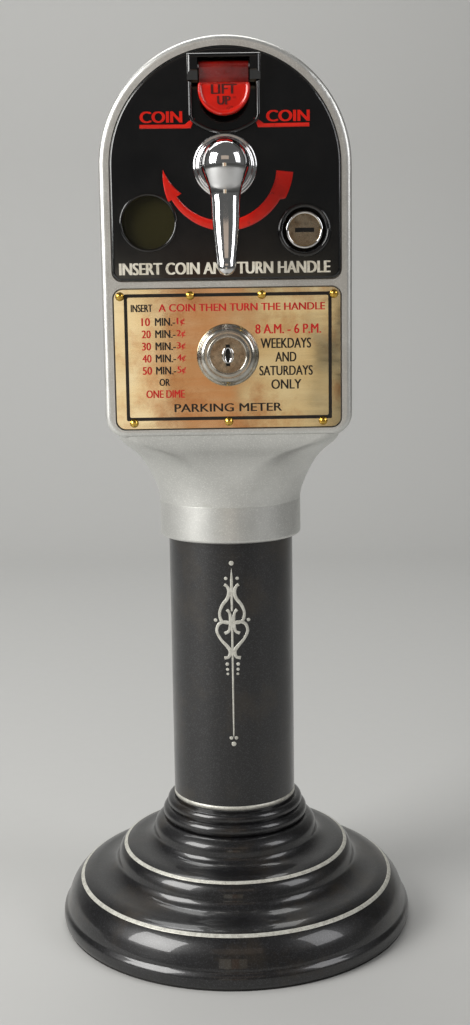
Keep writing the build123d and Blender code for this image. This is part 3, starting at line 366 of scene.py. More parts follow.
def addPiece(name, points, body, material, closeRows=False, capEnds=False, replaced=(), smooth=True,
             bevel=None):
    # points holds rows of points, and every row closes on itself
    faces = gridFaces(*points.shape[:2], closeRows, True, capEnds)
    mesh = bpy.data.meshes.new(name)
    mesh.from_pydata((points.reshape(-1, 3) * mm).tolist(), [], faces)
    return placeMesh(name, mesh, body, material, replaced, smooth, bevel)


def placeMesh(name, mesh, body, material, replaced=(), smooth=True, bevel=None):
    shape = bmesh.new()
    shape.from_mesh(mesh)
    bmesh.ops.remove_doubles(shape, verts=shape.verts, dist=1e-6)
    bmesh.ops.recalc_face_normals(shape, faces=shape.faces)
    shape.to_mesh(mesh)
    shape.free()
    mesh.materials.append(material)
    mesh.polygons.foreach_set("use_smooth", np.full(len(mesh.polygons), smooth))
    piece = bpy.data.objects.new(name, mesh)
    scene.collection.objects.link(piece)
    if bevel:
        rounding = piece.modifiers.new("rounding", "BEVEL")
        rounding.width = bevel * mm
        rounding.segments = 2
        rounding.limit_method = "ANGLE"
    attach(piece, body)
    if replaced:
        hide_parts(*replaced)
    return piece


def lathe(profile, segments, axis="Z", centre=(0.0, 0.0)):
    # a profile of (radius, distance along the axis) turned about it: radius times cosine and sine of the turn
    turn = np.linspace(0, 2 * np.pi, segments, endpoint=False)
    radius, along = profile[:, :1], profile[:, 1:]
    across = centre[0] + radius * np.cos(turn)
    upright = centre[1] + radius * np.sin(turn)
    level = np.broadcast_to(along, across.shape)
    return np.stack([across, upright, level] if axis == "Z" else [across, level, upright], -1)


def softProfile(corners, steps=5):
    # each corner (x, y, radius) becomes a parabola from radius before it to radius after it
    pts = np.array([c[:2] for c in corners], float)
    size = np.array([c[2] for c in corners], float)
    before, after = np.roll(pts, 1, 0), np.roll(pts, -1, 0)
    inward = (before - pts) / np.linalg.norm(before - pts, axis=1)[:, None]
    outward = (after - pts) / np.linalg.norm(after - pts, axis=1)[:, None]
    t = np.linspace(0, 1, steps)[None, :, None]
    start = (pts + inward * size[:, None])[:, None]
    end = (pts + outward * size[:, None])[:, None]
    return (start * (1 - t) ** 2 + pts[:, None] * 2 * t * (1 - t) + end * t ** 2).reshape(-1, 2)


def raisedBand(left, middle, right, low, high, wrap=None):
    # between two edge curves and a middle one, a low flat ridge: up one side, over the crown, down the other
    shares = [(0.0, 0), (0.0, 0.7), (0.12, 1.0), (0.5, 1.05), (0.88, 1.0), (1.0, 0.7), (1.0, 0)]
    columns = []
    for share, lift in shares:
        if share <= 0.5:
            line = left * (1 - share * 2) + middle * share * 2
        else:
            line = middle * (2 - 2 * share) + right * (2 * share - 1)
        columns.append(np.column_stack([line[:, 0], np.full(len(line), low + (high - low) * lift),
                                        line[:, 1]]))
    points = np.stack(columns, 1)
    return wrap(points) if wrap else points


def smoothPath(knots, count):
    # Catmull-Rom: between knots the curve is the cubic through them with slopes from their neighbours
    knots = np.array(knots, float)
    padded = np.vstack([2 * knots[0] - knots[1], knots, 2 * knots[-1] - knots[-2]])
    at = np.linspace(0, len(knots) - 1 - 1e-9, count)
    i = at.astype(int)
    t = (at - i)[:, None]
    a, b, c, d = padded[i], padded[i + 1], padded[i + 2], padded[i + 3]
    return 0.5 * (
        2 * b + (c - a) * t + (2 * a - 5 * b + 4 * c - d) * t ** 2 + (3 * b - a - 3 * c + d) * t ** 3
    )


def brushStroke(knots, widths, count=40):
    # a line of changing width: left and right edges stand half a width off the path, square to it
    line = smoothPath(knots, count)
    along = np.gradient(line, axis=0)
    along /= np.linalg.norm(along, axis=1)[:, None]
    square = np.column_stack([-along[:, 1], along[:, 0]])
    half = np.interp(np.linspace(0, 1, count), np.linspace(0, 1, len(widths)), widths)[:, None] / 2
    return line + square * half, line, line - square * half


def textMesh(text, box, face, depth, bold):
    # built-in lettering, stretched to fill (left, right, low, high) and stood up to face the front;
    # two copies a little apart sideways make the strokes heavier, the second a hair deeper than the first
    curve = bpy.data.curves.new("lettering", "FONT")
    curve.body = text
    curve.size = 1.0
    curve.resolution_u = 4
    curve.extrude = 0.5
    holder = bpy.data.objects.new("lettering", curve)
    scene.collection.objects.link(holder)
    bpy.context.view_layer.update()
    plain = bpy.data.meshes.new_from_object(holder.evaluated_get(bpy.context.evaluated_depsgraph_get()))
    bpy.data.objects.remove(holder)
    bpy.data.curves.remove(curve)
    count = len(plain.vertices)
    spots = np.zeros(count * 3)
    plain.vertices.foreach_get("co", spots)
    spots = spots.reshape(-1, 3)
    share = (spots - spots.min(0)) / (spots.max(0) - spots.min(0))
    left, right, low, high = box
    placed = np.column_stack([
        left + bold + share[:, 0] * (right - left - 2 * bold),
        face - share[:, 2] * depth,
        low + share[:, 1] * (high - low),
    ])
    faces = [list(polygon.vertices) for polygon in plain.polygons]
    deeper = 0.01
    both = np.vstack([placed - [bold, 0, 0], placed + [bold, deeper, 0]])
    mesh = bpy.data.meshes.new("lettering")
    mesh.from_pydata((both * mm).tolist(), [], faces + [[i + count for i in face] for face in faces])
    bpy.data.meshes.remove(plain)
    return mesh


def addText(name, text, box, face, depth, body, material, slotName, bold):
    return placeMesh(name, textMesh(text, box, face, depth, bold), body, material, smooth=False)


# stand: turned base with three tiers, and its painted lines
baseSet = {
    # knots of the outside: radius, height, slope in and out
    "outside": [
        ((35.6, 52.0), (1.0, 0.0)), ((39.4, 49.6), (0.55, -0.6)), ((41.0, 44.4), (0.15, -1.0)),
        ((44.2, 41.0), (1.0, -0.45)), ((50.6, 39.7), (1.0, -0.12)), ((56.6, 37.4), (0.8, -0.6)),
        ((59.6, 31.0), (0.2, -1.0)), ((63.4, 26.9), (1.0, -0.5)), ((71.0, 25.0), (1.0, -0.12)),
        ((78.6, 21.7), (0.8, -0.65)), ((84.0, 14.0), (0.35, -1.0)), ((85.6, 8.6), (0.15, -1.0)),
    ],
    "rim": [(86.3, 7.7), (87.1, 6.9), (87.45, 5.4), (87.45, 3.2), (87.2, 1.5), (86.6, 1.0)],
    "inside": [(81.5, 1.0), (80.0, 9.0), (69.0, 18.5), (55.5, 21.5), (50.0, 30.0), (30.3, 30.0),
               (30.3, 52.0)],
    # painted lines: radius and width; all stand proud of the surface and reach a little below it
    "lines": [(55.4, 1.9), (77.6, 2.0)], "proud": 0.09, "foot": 0.15,
}


def outsideOfBase(s, steps=14):
    # cubic Hermite between knots: position from both ends, slopes scaled by the knots' distance
    spots = np.array([k[0] for k in s["outside"]])
    slopes = np.array([k[1] for k in s["outside"]])
    slopes /= np.linalg.norm(slopes, axis=1)[:, None]
    gap = np.linalg.norm(np.diff(spots, axis=0), axis=1)[:, None, None]
    t = np.linspace(0, 1, steps, endpoint=False)[None, :, None]
    a, b = spots[:-1, None], spots[1:, None]
    m, n = slopes[:-1, None] * gap, slopes[1:, None] * gap
    atStart, atEnd = 2 * t ** 3 - 3 * t ** 2 + 1, 3 * t ** 2 - 2 * t ** 3
    leaving, arriving = t ** 3 - 2 * t ** 2 + t, t ** 3 - t ** 2
    curve = atStart * a + leaving * m + atEnd * b + arriving * n
    return np.vstack([curve.reshape(-1, 2), spots[-1:]])


outside = outsideOfBase(baseSet)
addPiece(
    "tieredBase", lathe(np.vstack([outside, baseSet["rim"], baseSet["inside"]]), 192), "stand_and_housing",
    flakeEnamel,
    closeRows=True, replaced=["base"],
)


def paintedRing(name, radius, width, proud, foot):
    # the stretch of the outside within half a width of that radius, lifted square to the surface
    length = np.concatenate([[0], np.cumsum(np.linalg.norm(np.diff(outside, axis=0), axis=1))])
    middle = length[np.argmin(np.abs(outside[:, 0] - radius))]
    at = np.linspace(middle - width / 2, middle + width / 2, 7)
    line = np.column_stack([np.interp(at, length, outside[:, 0]), np.interp(at, length, outside[:, 1])])
    along = np.gradient(line, axis=0)
    square = np.column_stack([-along[:, 1], along[:, 0]]) / np.linalg.norm(along, axis=1)[:, None]
    loop = np.vstack([line + square * proud, (line - square * foot)[::-1]])
    addPiece(name, lathe(loop, 192), "stand_and_housing", stripePaint, closeRows=True)


for count, (radius, width) in enumerate(baseSet["lines"]):
    paintedRing(f"tierLine{count}", radius, width, baseSet["proud"], baseSet["foot"])

postRadius = 30.15
postLineSet = {"low": 63.9, "high": 65.9, "foot": 0.2, "proud": 0.08}


def addPostLine(s):
    inner, outer = postRadius - s["foot"], postRadius + s["proud"]
    loop = np.array([(inner, s["low"]), (outer, s["low"]), (outer, s["high"]), (inner, s["high"])])
    addPiece("postLine", lathe(loop, 192), "stand_and_housing", stripePaint, closeRows=True)


addPostLine(postLineSet)


# painted scrollwork on the post
scrollSet = {
    # mirrored strokes: knots (x, z) and widths
    "paired": [
        ([(3.4, 176.0), (2.2, 175.0), (1.2, 172.6), (2.0, 169.4), (4.6, 165.8), (5.9, 162.2), (5.2, 158.6),
          (2.6, 157.2), (0.6, 157.6)],
         [1.6, 1.3, 1.9, 1.7, 1.5, 1.3, 1.5, 1.2, 0.9]),
        ([(0.7, 157.6), (3.4, 157.9), (6.4, 156.6), (7.4, 153.2), (5.6, 149.4), (2.8, 146.2), (1.0, 143.6),
          (1.8, 140.8), (3.9, 140.2)],
         [0.9, 1.4, 1.5, 1.4, 1.3, 1.6, 1.9, 1.4, 1.7]),
        ([(2.4, 163.8), (1.3, 162.4), (0.8, 160.0), (0.9, 156.4), (1.6, 153.4), (3.6, 152.2)],
         [1.5, 1.2, 1.5, 1.5, 1.3, 1.6]),
    ],
    "single": [
        ([(0.0, 183.6), (0.0, 178.0), (0.0, 172.0), (0.0, 163.0)], [0.2, 1.4, 1.2, 1.0]),
        ([(0.0, 160.0), (0.0, 150.0), (0.0, 130.0), (0.0, 101.0)], [1.2, 1.0, 0.9, 0.6]),
    ],
    "foot": 0.15, "proud": 0.1,
    # dots: x, z and radius; their rings: share of the radius and height off the post
    "dots": [(0.0, 186.2, 1.15), (0.0, 97.6, 1.15)],
    "dotRings": [(1.0, -0.15), (1.0, 0.05), (0.85, 0.11), (0.45, 0.13), (0.0, 0.135)],
    "pairedDots": [(2.7, 178.9, 0.8), (7.9, 158.6, 0.85), (2.6, 137.2, 0.85), (2.5, 134.6, 0.75),
                   (2.4, 132.4, 0.65), (1.2, 100.6, 0.85)],
}


def wrapOnPost(points):
    # sideways distance becomes an angle round the post, depth becomes radius
    angle = points[..., 0] / postRadius
    radius = points[..., 1]
    return np.stack([radius * np.sin(angle), -radius * np.cos(angle), points[..., 2]], -1)


def roundDot(x, z, size, rings, steps=20):
    # a low blob: rings that shrink to its middle, each further off the post
    turn = np.linspace(0, 2 * np.pi, steps, endpoint=False)
    rows = []
    for share, lift in rings:
        across, up = x + size * share * np.cos(turn), z + size * share * np.sin(turn)
        rows.append(np.column_stack([across, np.full(steps, postRadius + lift), up]))
    return wrapOnPost(np.stack(rows))


def addScrollwork(s):
    strokes = [(np.array(k), w) for k, w in s["single"]]
    for knots, widths in s["paired"]:
        strokes += [(np.array(knots), widths), (np.array(knots) * [-1, 1], widths)]
    for number, (knots, widths) in enumerate(strokes):
        low, high = postRadius - s["foot"], postRadius + s["proud"]
        band = raisedBand(*brushStroke(knots, widths, 60), low, high, wrapOnPost)
        addPiece(f"scroll{number}", band, "stand_and_housing", stripePaint, capEnds=True)
    dots = list(s["dots"]) + [(side * x, z, size) for x, z, size in s["pairedDots"] for side in (-1, 1)]
    for number, dot in enumerate(dots):
        blob = roundDot(*dot, s["dotRings"])
        addPiece(f"scrollDot{number}", blob, "stand_and_housing", stripePaint, capEnds=True)


addScrollwork(scrollSet)
print("stand")

# crank: ball and tapering arm in one polished surface
pivot = (0.0, 366.6)
crankSet = {
    # distance below the pivot, depth, half width, half thickness
    "stations": [
        (-10.38, -64.6, 0.0, 0.0), (-10.2, -64.6, 1.9, 1.9), (-9.4, -64.6, 4.4, 4.4), (-7.8, -64.6, 6.8, 6.8),
        (-5.0, -64.6, 9.1, 9.1), (-1.5, -64.6, 10.25, 10.25), (2.0, -64.6, 10.2, 10.2),
        (5.0, -64.8, 9.2, 9.1),
        (7.6, -65.2, 8.2, 7.6), (10.0, -65.7, 7.2, 6.2), (13.0, -66.3, 6.5, 5.2), (17.0, -66.9, 6.1, 4.8),
        (24.0, -67.9, 5.75, 4.4), (31.0, -69.1, 5.2, 4.1), (37.0, -70.4, 4.6, 3.9), (40.0, -71.2, 4.25, 3.8),
        (42.6, -72.1, 4.05, 3.8), (44.8, -72.5, 3.5, 3.4), (46.2, -72.6, 2.4, 2.4), (46.9, -72.6, 1.1, 1.1),
        (47.05, -72.6, 0.0, 0.0),
    ],
    # turned neck behind the ball: radius, depth
    "neck": [(0.0, -60.0), (7.9, -60.0), (7.9, -54.6), (8.5, -53.4), (0.0, -53.4)],
}


def addCrank(s):
    stations = smoothPath(s["stations"], 110)
    stations[:, 2:] = np.clip(stations[:, 2:], 0, None)
    turn = np.linspace(0, 2 * np.pi, 72, endpoint=False)
    drop, depth, wide, thick = (stations[:, i:i + 1] for i in range(4))
    points = np.stack([
        pivot[0] + wide * np.cos(turn),
        depth + thick * np.sin(turn),
        np.broadcast_to(pivot[1] - drop, (len(stations), len(turn))),
    ], -1)
    addPiece("crankArm", points, "crank", polishedChrome, replaced=["crank_handle"],
             capEnds=True)
    addPiece(
        "crankNeck", lathe(np.array(s["neck"]), 72, "Y", pivot), "crank", polishedChrome,
        capEnds=True, bevel=0.3,
    )


addCrank(crankSet)
print("crank")

# raised red arrow round the crank: angles in degrees, radii in millimetres
arrowSet = {
    "tail": -5.5, "tailEnd": -30.0, "barb": -149.5, "tip": -177.7, "notch": 2.7,
    "inner": (22.5, 24.8), "outer": (28.0, 27.5), "tailStep": 1.8, "headSpan": (22.4, 29.2),
    "tipRadius": 27.1,
    "stepSweep": 2.0, "notchShare": 0.05, "headGap": 0.4, "face": -48.9, "lift": 0.95,
}


def addArrow(s):
    # edges are radii against angle, clockwise from the tail on the right, through the bottom, to the head
    # on the left
    sweep = np.linspace(0, 1, 90)
    angle = s["tail"] + (s["barb"] - s["tail"]) * sweep
    inner = s["inner"][0] + (s["inner"][1] - s["inner"][0]) * sweep ** 2
    outer = s["outer"][0] + (s["outer"][1] - s["outer"][0]) * sweep
    outer = outer + s["tailStep"] * np.clip((angle - s["tailEnd"]) / s["stepSweep"] + 0.5, 0, 1)
    notch = -s["notch"] * np.clip(1 - sweep / s["notchShare"], 0, 1)
    head = np.linspace(0, 1, 16)
    headAngle = s["barb"] + s["headGap"] + (s["tip"] - s["barb"] - s["headGap"]) * head
    low, high = s["headSpan"]
    headInner, headOuter = low + (s["tipRadius"] - low) * head, high + (s["tipRadius"] - high) * head
    angles = [np.concatenate([a, headAngle]) for a in (angle, angle + notch, angle)]
    radii = [
        np.concatenate([inner, headInner]),
        np.concatenate([(inner + outer) / 2, (headInner + headOuter) / 2]),
        np.concatenate([outer, headOuter]),
    ]
    lines = [
        np.column_stack([pivot[0] + r * np.cos(np.radians(a)), pivot[1] + r * np.sin(np.radians(a))])
        for r, a in zip(radii, angles)
    ]
    band = raisedBand(*lines, s["face"], s["face"] - s["lift"])
    addPiece("turnArrow", band, "works", redEnamel, capEnds=True, smooth=False)


addArrow(arrowSet)

# raised words on the black plate
plateFace = -49.0
wordSet = {
    "coins": [("coinLeft", (-36.7, -18.2, 385.2, 390.0)), ("coinRight", (18.1, 37.0, 385.1, 389.9))],
    "line": ("turnLine", "INSERT COIN AND TURN HANDLE", (-47.4, 45.8, 320.3, 325.5)),
    # underline of each word, flaring up into a point at the coin pocket: upper and lower edge
    "upper": [(36.8, 384.5), (26.0, 384.45), (17.1, 384.4), (15.5, 385.7), (12.9, 386.9)],
    "lower": [(36.8, 382.8), (26.0, 382.75), (16.5, 382.7), (14.6, 382.8), (12.9, 386.5)],
    "sunk": 0.05, "coinDepth": 0.85, "coinBold": 0.3, "lineDepth": 0.7, "lineBold": 0.28, "pointerProud": 0.8,
}


def addWords(s):
    foot = plateFace + s["sunk"]
    for name, box in s["coins"]:
        addText(name, "COIN", box, foot, s["coinDepth"], "works", redEnamel, "faceplate", s["coinBold"])
    addText(*s["line"], foot, s["lineDepth"], "works", whitePaint, "faceplate", s["lineBold"])
    for name, side in (("coinPointerLeft", -1), ("coinPointerRight", 1)):
        upper, lower = (np.array(s[edge]) * [side, 1] for edge in ("upper", "lower"))
        band = raisedBand(upper, (upper + lower) / 2, lower, foot, plateFace - s["pointerProud"])
        addPiece(name, band, "works", redEnamel, capEnds=True, smooth=False)


addWords(wordSet)
print("raised words and arrow")

# coin flap: a curved leaf hanging from its barrel, and a thick round tab with a raised edge
flapSet = {
    "half": 10.6,
    # leaf seen from the side: depth, height, rounding
    "leaf": [(-53.5, 410.2, 1.8), (-49.6, 410.4, 1.6), (-48.7, 401.0, 0.3), (-51.0, 401.0, 0.3),
             (-51.5, 404.0, 1.2), (-54.0, 407.6, 1.2)],
    "tabCentre": (0.0, 399.0), "tabTop": 401.4,
    # tab from its middle outwards: share of the radius, depth
    "tabRadius": 11.3,
    "tab": [(0.0, -52.9), (0.5, -52.85), (0.8, -52.6), (0.86, -52.6), (0.89, -53.1), (0.93, -53.3),
            (0.97, -52.9), (1.0, -52.0),
            (1.0, -49.6), (0.97, -49.0), (0.0, -49.0)],
    "words": [("flapWord0", "LIFT", (-5.6, 5.5, 396.6, 400.6)),
              ("flapWord1", "UP", (-3.0, 2.9, 392.1, 395.7))],
    "wordFace": -52.7, "wordDepth": 0.25, "wordBold": 0.22,
}


def addFlap(s):
    leaf = softProfile(s["leaf"], 7)
    sides = [np.column_stack([np.full(len(leaf), x), leaf]) for x in (-s["half"], s["half"])]
    # the leaf wears the darker red: painted shade standing for the hood's shadow
    addPiece("flapLeaf", np.stack(sides), "flap", shadedRed, capEnds=True, replaced=["flap"],
             bevel=0.3)
    # the outline's radius reaches the round edge below and the straight top edge above, at every angle
    turn = np.linspace(0, 2 * np.pi, 144, endpoint=False)
    room = (s["tabTop"] - s["tabCentre"][1]) / np.maximum(np.sin(turn), 1e-3)
    reach = np.where(np.sin(turn) > 0, np.minimum(s["tabRadius"], room), s["tabRadius"])
    share, depth = np.array(s["tab"]).T[..., None]
    points = np.stack([
        s["tabCentre"][0] + share * reach * np.cos(turn),
        np.broadcast_to(depth, (len(share), len(turn))),
        s["tabCentre"][1] + share * reach * np.sin(turn),
    ], -1)
    addPiece("flapTab", points, "flap", redEnamel, capEnds=True)
    for name, text, box in s["words"]:
        addText(name, text, box, s["wordFace"], s["wordDepth"], "flap", darkRedPaint, "flap", s["wordBold"])


addFlap(flapSet)

# glossy bead round the pocket's mouth; cornerIn and cornerDown are where the soft corner starts
beadSet = {
    "half": 14.7, "shoulder": 387.2, "low": 380.9, "top": 403.0, "sideKnots": (397.0, 391.0),
    "cornerIn": 1.0, "cornerDown": 0.6, "width": 1.5, "foot": -50.4, "lift": 0.75, "sunk": 0.4,
}


def addBead(s):
    # down one side, a soft corner, a shallow arc, and up the other side
    half, shoulder = s["half"], s["shoulder"]
    high, low = s["sideKnots"]
    x = np.linspace(-1, 1, 40) * (half - s["cornerIn"])
    start = shoulder - s["cornerDown"]
    sag = start - (start - s["low"]) * (1 - (x / half) ** 2)
    end = shoulder + s["cornerDown"]
    knots = np.vstack([
        [(-half, s["top"]), (-half, high), (-half, low), (-half, end)],
        np.column_stack([x, sag]),
        [(half, end), (half, low), (half, high), (half, s["top"])],
    ])
    line = smoothPath(knots, 220)
    along = np.gradient(line, axis=0)
    along /= np.linalg.norm(along, axis=1)[:, None]
    square = np.column_stack([-along[:, 1], along[:, 0]]) * s["width"] / 2
    # half-round section: across the bead by a cosine, out of it by a sine
    turn = np.linspace(0, np.pi, 9)
    rows = [
        np.column_stack([
            line[:, 0] + square[:, 0] * c,
            np.full(len(line), s["foot"] - s["lift"] * h),
            line[:, 1] + square[:, 1] * c,
        ])
        for c, h in zip(np.cos(turn), np.sin(turn))
    ]
    sunk = [0, s["sunk"], 0]
    rows = [rows[0] + sunk] + rows + [rows[-1] + sunk]
    addPiece("pocketBead", np.stack(rows, 1), "works", blackEnamel, capEnds=True)


addBead(beadSet)

# rings and lock faces: profiles of (radius, depth), turned about their own axes
ringSet = {
    "windowRim": {
        "centre": (-34.0, 342.9), "finish": blackEnamel, "body": "works", "slot": "faceplate", "replaced": [],
        "profile": [(11.5, -48.9), (11.5, -49.5), (11.75, -49.95), (12.2, -50.05), (12.65, -49.8),
                    (12.8, -48.9)],
    },
    "sideLockDish": {
        "centre": (34.4, 338.8), "finish": blackEnamel, "body": "works", "slot": "faceplate",
        "replaced": ["side_lock_ring"],
        "profile": [
            (8.2, -48.95), (8.2, -49.7), (8.8, -49.9), (9.4, -50.5), (9.9, -51.3), (10.5, -51.7),
            (11.1, -51.5), (11.6, -50.7),
            (11.8, -49.8), (11.8, -48.95),
        ],
    },
    "sideLockEdge": {
        "centre": (34.4, 338.8), "finish": polishedChrome, "body": "works", "slot": "side_lock_body",
        "replaced": [],
        "profile": [(6.9, -50.7), (7.1, -51.2), (7.6, -51.35), (8.05, -51.0), (8.15, -50.6), (8.15, -50.2),
                    (6.9, -50.2)],
    },
    "doorLockFace": {
        "centre": (0.0, 284.6), "finish": wornNickel, "body": "door", "slot": "door_lock_body",
        "replaced": [],
        "profile": [
            (7.95, -51.0), (8.0, -51.5), (8.5, -51.75), (9.1, -51.45), (9.5, -51.25), (10.1, -51.45),
            (11.0, -51.3), (11.9, -50.7),
            (12.5, -49.8), (13.0, -49.3), (13.6, -48.9), (13.9, -48.2), (13.9, -47.45), (7.95, -47.45),
        ],
    },
}


def addRings(rows):
    for name, s in rows.items():
        points = lathe(np.array(s["profile"]), 128, "Y", s["centre"])
        addPiece(name, points, s["body"], s["finish"], closeRows=True, replaced=s["replaced"])


addRings(ringSet)

# keyways: dark slabs just below the plug's face, painted shade for the dark inside each keyway, and a bright
# oval eye on the door's plug
keySet = {
    "sideKeywayShade": {"body": "side_key", "slot": "side_lock_plug", "centre": (34.4, 338.8),
                      "half": (4.1, 0.9), "face": -50.3},
    "doorKeywayShade": {"body": "door_key", "slot": "door_lock_plug", "centre": (0.0, 284.6),
                      "half": (0.9, 4.7), "face": -50.3},
}
keywayShadeSet = {"depth": 1.5, "power": 0.3}
eyeSet = {
    "centre": (0.0, 284.6), "half": (2.7, 3.6), "slot": (1.0, 2.9), "face": -50.35, "lift": 0.7, "power": 0.9,
    # from the outer foot over the crown to the inner wall: share of the way inwards, share of the lift
    "section": [(0.0, 0.0), (0.0, 0.6), (0.3, 1.0), (0.7, 0.9), (1.0, 0.4), (1.0, 0.0)],
}


def roundedSlab(centre, half, front, back, power, steps=48):
    # superellipse outline: cosine and sine raised to a power below one, filled front and back
    turn = np.linspace(0, 2 * np.pi, steps, endpoint=False)
    c, n = np.cos(turn), np.sin(turn)
    x = centre[0] + half[0] * np.sign(c) * np.abs(c) ** power
    z = centre[1] + half[1] * np.sign(n) * np.abs(n) ** power
    return np.stack([np.column_stack([x, np.full(steps, y), z]) for y in (front, back)])


# each slab is painted shade: a nearly black stand-in for the dark inside a keyway
for name, s in keySet.items():
    slab = roundedSlab(s["centre"], s["half"], s["face"], s["face"] + keywayShadeSet["depth"], keywayShadeSet["power"])
    addPiece(name, slab, s["body"], keywayShadeSteel, capEnds=True, smooth=False)


def addEye(s):
    # an oval ring: every row of its section is a rounded oval of its own size
    rows = []
    for share, lift in s["section"]:
        half = [o + (i - o) * share for o, i in zip(s["half"], s["slot"])]
        y = s["face"] - s["lift"] * lift
        rows.append(roundedSlab(s["centre"], half, y, y, s["power"])[0])
    addPiece("doorKeyEye", np.stack(rows), "door_key", polishedChrome, closeRows=True)


addEye(eyeSet)
print("flap, bead, rings")

# printing on the brass rate plate
rateFace = -47.4
rateSet = {
    "line": {"left": -45.9, "right": 46.4, "low": 255.6, "high": 312.0, "width": 1.5, "corner": 0.8,
             "sunk": 0.03, "proud": 0.05},
    "textSunk": 0.02, "textDepth": 0.07, "textBold": 0.15,
    "black": [
        ("INSERT", (-42.9, -33.2, 304.1, 307.4)),
        ("MIN.-", (-32.3, -23.2, 297.9, 301.4)), ("MIN.-", (-32.3, -23.2, 292.5, 296.0)),
        ("MIN.-", (-32.3, -23.2, 287.1, 290.6)), ("MIN.-", (-32.3, -23.2, 281.7, 285.2)),
        ("MIN.-", (-32.3, -23.2, 276.3, 279.8)), ("OR", (-30.9, -26.1, 271.2, 274.4)),
        ("WEEKDAYS", (14.6, 37.2, 287.3, 291.8)), ("AND", (21.1, 30.6, 281.3, 285.6)),
        ("SATURDAYS", (13.9, 37.9, 275.2, 279.5)), ("ONLY", (19.2, 32.8, 269.1, 273.4)),
        ("PARKING METER", (-24.4, 24.0, 259.3, 263.0)),
    ],
    "red": [
        ("A COIN THEN TURN THE HANDLE", (-30.6, 43.5, 304.1, 307.4)),
        ("10", (-38.3, -34.4, 297.9, 301.4)), ("20", (-38.3, -34.2, 292.5, 296.0)),
        ("30", (-38.3, -34.2, 287.1, 290.6)),
        ("40", (-38.3, -34.1, 281.7, 285.2)), ("50", (-38.3, -34.0, 276.3, 279.8)),
        ("1¢", (-22.6, -19.0, 297.9, 301.4)), ("2¢", (-22.8, -18.8, 292.5, 296.0)),
        ("3¢", (-22.8, -18.8, 287.1, 290.6)),
        ("4¢", (-22.8, -18.8, 281.7, 285.2)), ("5¢", (-22.8, -18.8, 276.3, 279.8)),
        ("ONE DIME", (-36.9, -19.6, 265.8, 269.3)), ("8 A.M. - 6 P.M.", (12.3, 41.7, 293.8, 298.0)),
    ],
}


def borderLoop(s):
    # a rounded rectangle walked once round, with an inner and an outer edge
    def loop(inset):
        left, right = s["left"] + inset, s["right"] - inset
        low, high = s["low"] + inset, s["high"] - inset
        r = s["corner"]
        return softProfile([(left, low, r), (right, low, r), (right, high, r), (left, high, r)], 6)
    outer, inner = loop(0.0), loop(s["width"])
    low, high = rateFace + s["sunk"], rateFace - s["proud"]
    rows = []
    for line, face in ((outer, low), (outer, high), (inner, high), (inner, low)):
        rows.append(np.column_stack([line[:, 0], np.full(len(line), face), line[:, 1]]))
    return np.stack(rows)


def addRatePrint(s):
    border = borderLoop(s["line"])
    addPiece("rateBorder", border, "door", blackPaint, closeRows=True, smooth=False)
    foot = rateFace + s["textSunk"]
    for tone, paint, rows in (("Black", blackPaint, s["black"]), ("Red", redPaint, s["red"])):
        for number, (text, box) in enumerate(rows):
            name = f"rateText{tone}{number}"
            addText(name, text, box, foot, s["textDepth"], "door", paint, "rate_plate", s["textBold"])


addRatePrint(rateSet)
print("rate plate")

# minutes on the dial, read from behind through the rear window; they stand on a flattened half circle
dialSet = {
    "centre": (0.0, 342.6), "face": 27.0, "count": 5, "step": 45, "minutes": 15, "radius": 33.0,
    "flatten": 4.0,
    "half": (2.6, 2.0), "depth": 0.12, "bold": 0.1, "proud": 0.02,
}


def addDialMarks(s):
    cx, cz = s["centre"]
    wide, tall = s["half"]
    for number in range(s["count"]):
        angle = math.radians(180 - s["step"] * number)
        x = -s["radius"] * math.cos(angle)
        z = cz + s["flatten"] + (s["radius"] - s["flatten"]) * math.sin(angle)
        box = (-wide, wide, z - tall, z + tall)
        mesh = textMesh(str(number * s["minutes"]), box, 0.0, s["depth"], s["bold"])
        # made to face the front, then turned half round about its own upright
        spots = np.zeros(len(mesh.vertices) * 3)
        mesh.vertices.foreach_get("co", spots)
        spots = spots.reshape(-1, 3)
        away = (s["face"] - s["proud"]) * mm - spots[:, 1]
        spots = np.column_stack([cx * mm + x * mm - spots[:, 0], away, spots[:, 2]])
        mesh.vertices.foreach_set("co", spots.ravel())
        placeMesh(f"dialNumber{number}", mesh, "works", blackPaint, smooth=False)


addDialMarks(dialSet)
print("dial")

# floor, backdrop and light
stageSet = {"floor": "#b9b9b7", "back": 900.0, "round": 500.0, "high": 5000.0, "wide": 12000.0,
            "front": 6000.0}


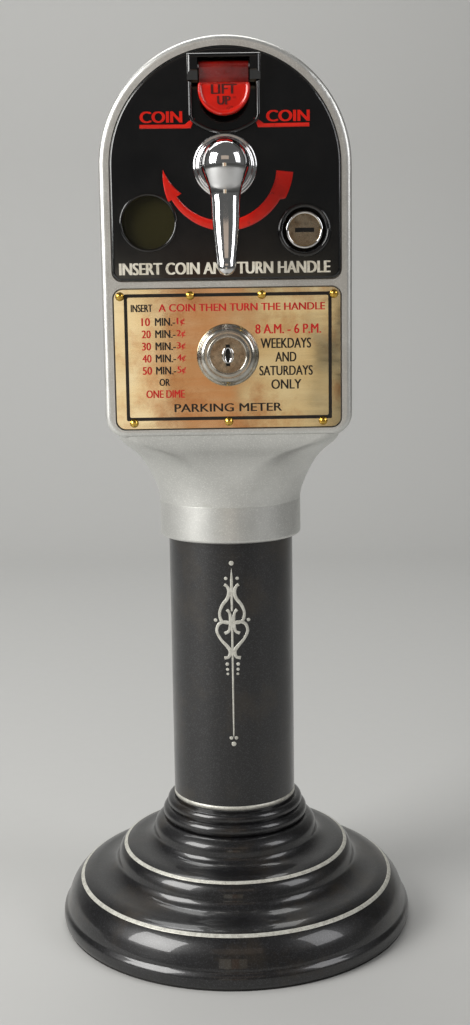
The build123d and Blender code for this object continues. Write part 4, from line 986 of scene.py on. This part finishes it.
def addStage(s):
    # floor, quarter-round and wall in one swept sheet: a straight, a quarter turn, a straight
    bend = np.linspace(0, np.pi / 2, 24)
    profile = np.vstack([
        [(-s["front"], 0.0)],
        np.column_stack([s["back"] + s["round"] * np.sin(bend), s["round"] * (1 - np.cos(bend))]),
        [(s["back"] + s["round"], s["high"])],
    ])
    across = np.array([-s["wide"], s["wide"]]) / 2
    points = np.stack([np.column_stack([np.full(len(profile), x), profile]) for x in across], 1)
    mesh = bpy.data.meshes.new("studioSweep")
    mesh.from_pydata((points.reshape(-1, 3) * mm).tolist(), [],
                     gridFaces(len(profile), 2, False, False, False))
    mesh.polygons.foreach_set("use_smooth", np.full(len(mesh.polygons), True))
    # matt grey paper: even, with no highlight
    paper = makeFinish(
        "mattPaper", colours=(s["floor"], s["floor"]), rough=(0.6, 0.7), grain=0.6, depth=0.01, mottle=200,
    )
    mesh.materials.append(paper)
    sweep = bpy.data.objects.new("studioSweep", mesh)
    scene.collection.objects.link(sweep)


# soft lamps in metres: a strong one on the left, a weak one on the right, one above and one on the backdrop,
# three small warm ones low in front for the brass plate to mirror, and a faint warm glow in front and above
lightSet = [
    # name, place, aim, size, watts, colour
    ("keyLeft", (-1.02, -0.62, 0.78), (0, 0, 0.27), (0.75, 0.85), 21.0, "#fffefc"),
    ("keyRight", (1.05, -0.55, 0.8), (0, 0, 0.3), (0.5, 0.8), 5.0, "#fdfdff"),
    ("overhead", (-0.1, 0.62, 1.6), (0, 0.1, 0.2), (1.2, 0.6), 8.5, "#fffffd"),
    ("backWash", (-0.6, 0.3, 1.3), (-0.35, 1.4, 0.5), (0.9, 0.3), 4.2, "#ffffff"),
    ("plateCardLeft", (-0.17, -1.3, 0.2), (0, 0, 0.28), (0.17, 0.27), 0.17, "#f0e6d2"),
    ("plateCardMiddle", (-0.03, -1.31, 0.2), (0, 0, 0.28), (0.1, 0.27), 0.06, "#dc9a66"),
    ("plateCardRight", (0.08, -1.3, 0.2), (0, 0, 0.28), (0.11, 0.27), 0.08, "#e2d2b2"),
    ("roomGlow", (0.0, -1.25, 0.86), (0, 0, 0.34), (0.8, 0.4), 0.5, "#e6cdb6"),
]


airSet = {"colour": "#b8b8b6", "strength": 0.24}


def addLights(rows):
    for name, place, aim, size, watts, colour in rows:
        light = bpy.data.lights.new(name, "AREA")
        light.shape = "RECTANGLE"
        light.size, light.size_y = size
        light.energy = watts
        light.color = toLinear(colour)[:3]
        lamp = bpy.data.objects.new(name, light)
        lamp.location = place
        lamp.rotation_euler = (Vector(aim) - Vector(place)).to_track_quat("-Z", "Y").to_euler()
        scene.collection.objects.link(lamp)


def addAir(s):
    world = bpy.data.worlds.new("studioAir")
    world.use_nodes = True
    air = world.node_tree.nodes["Background"]
    air.inputs["Color"].default_value = toLinear(s["colour"])
    air.inputs["Strength"].default_value = s["strength"]
    scene.world = world


addStage(stageSet)
addLights(lightSet)
addAir(airSet)
scene.view_settings.view_transform = "Standard"
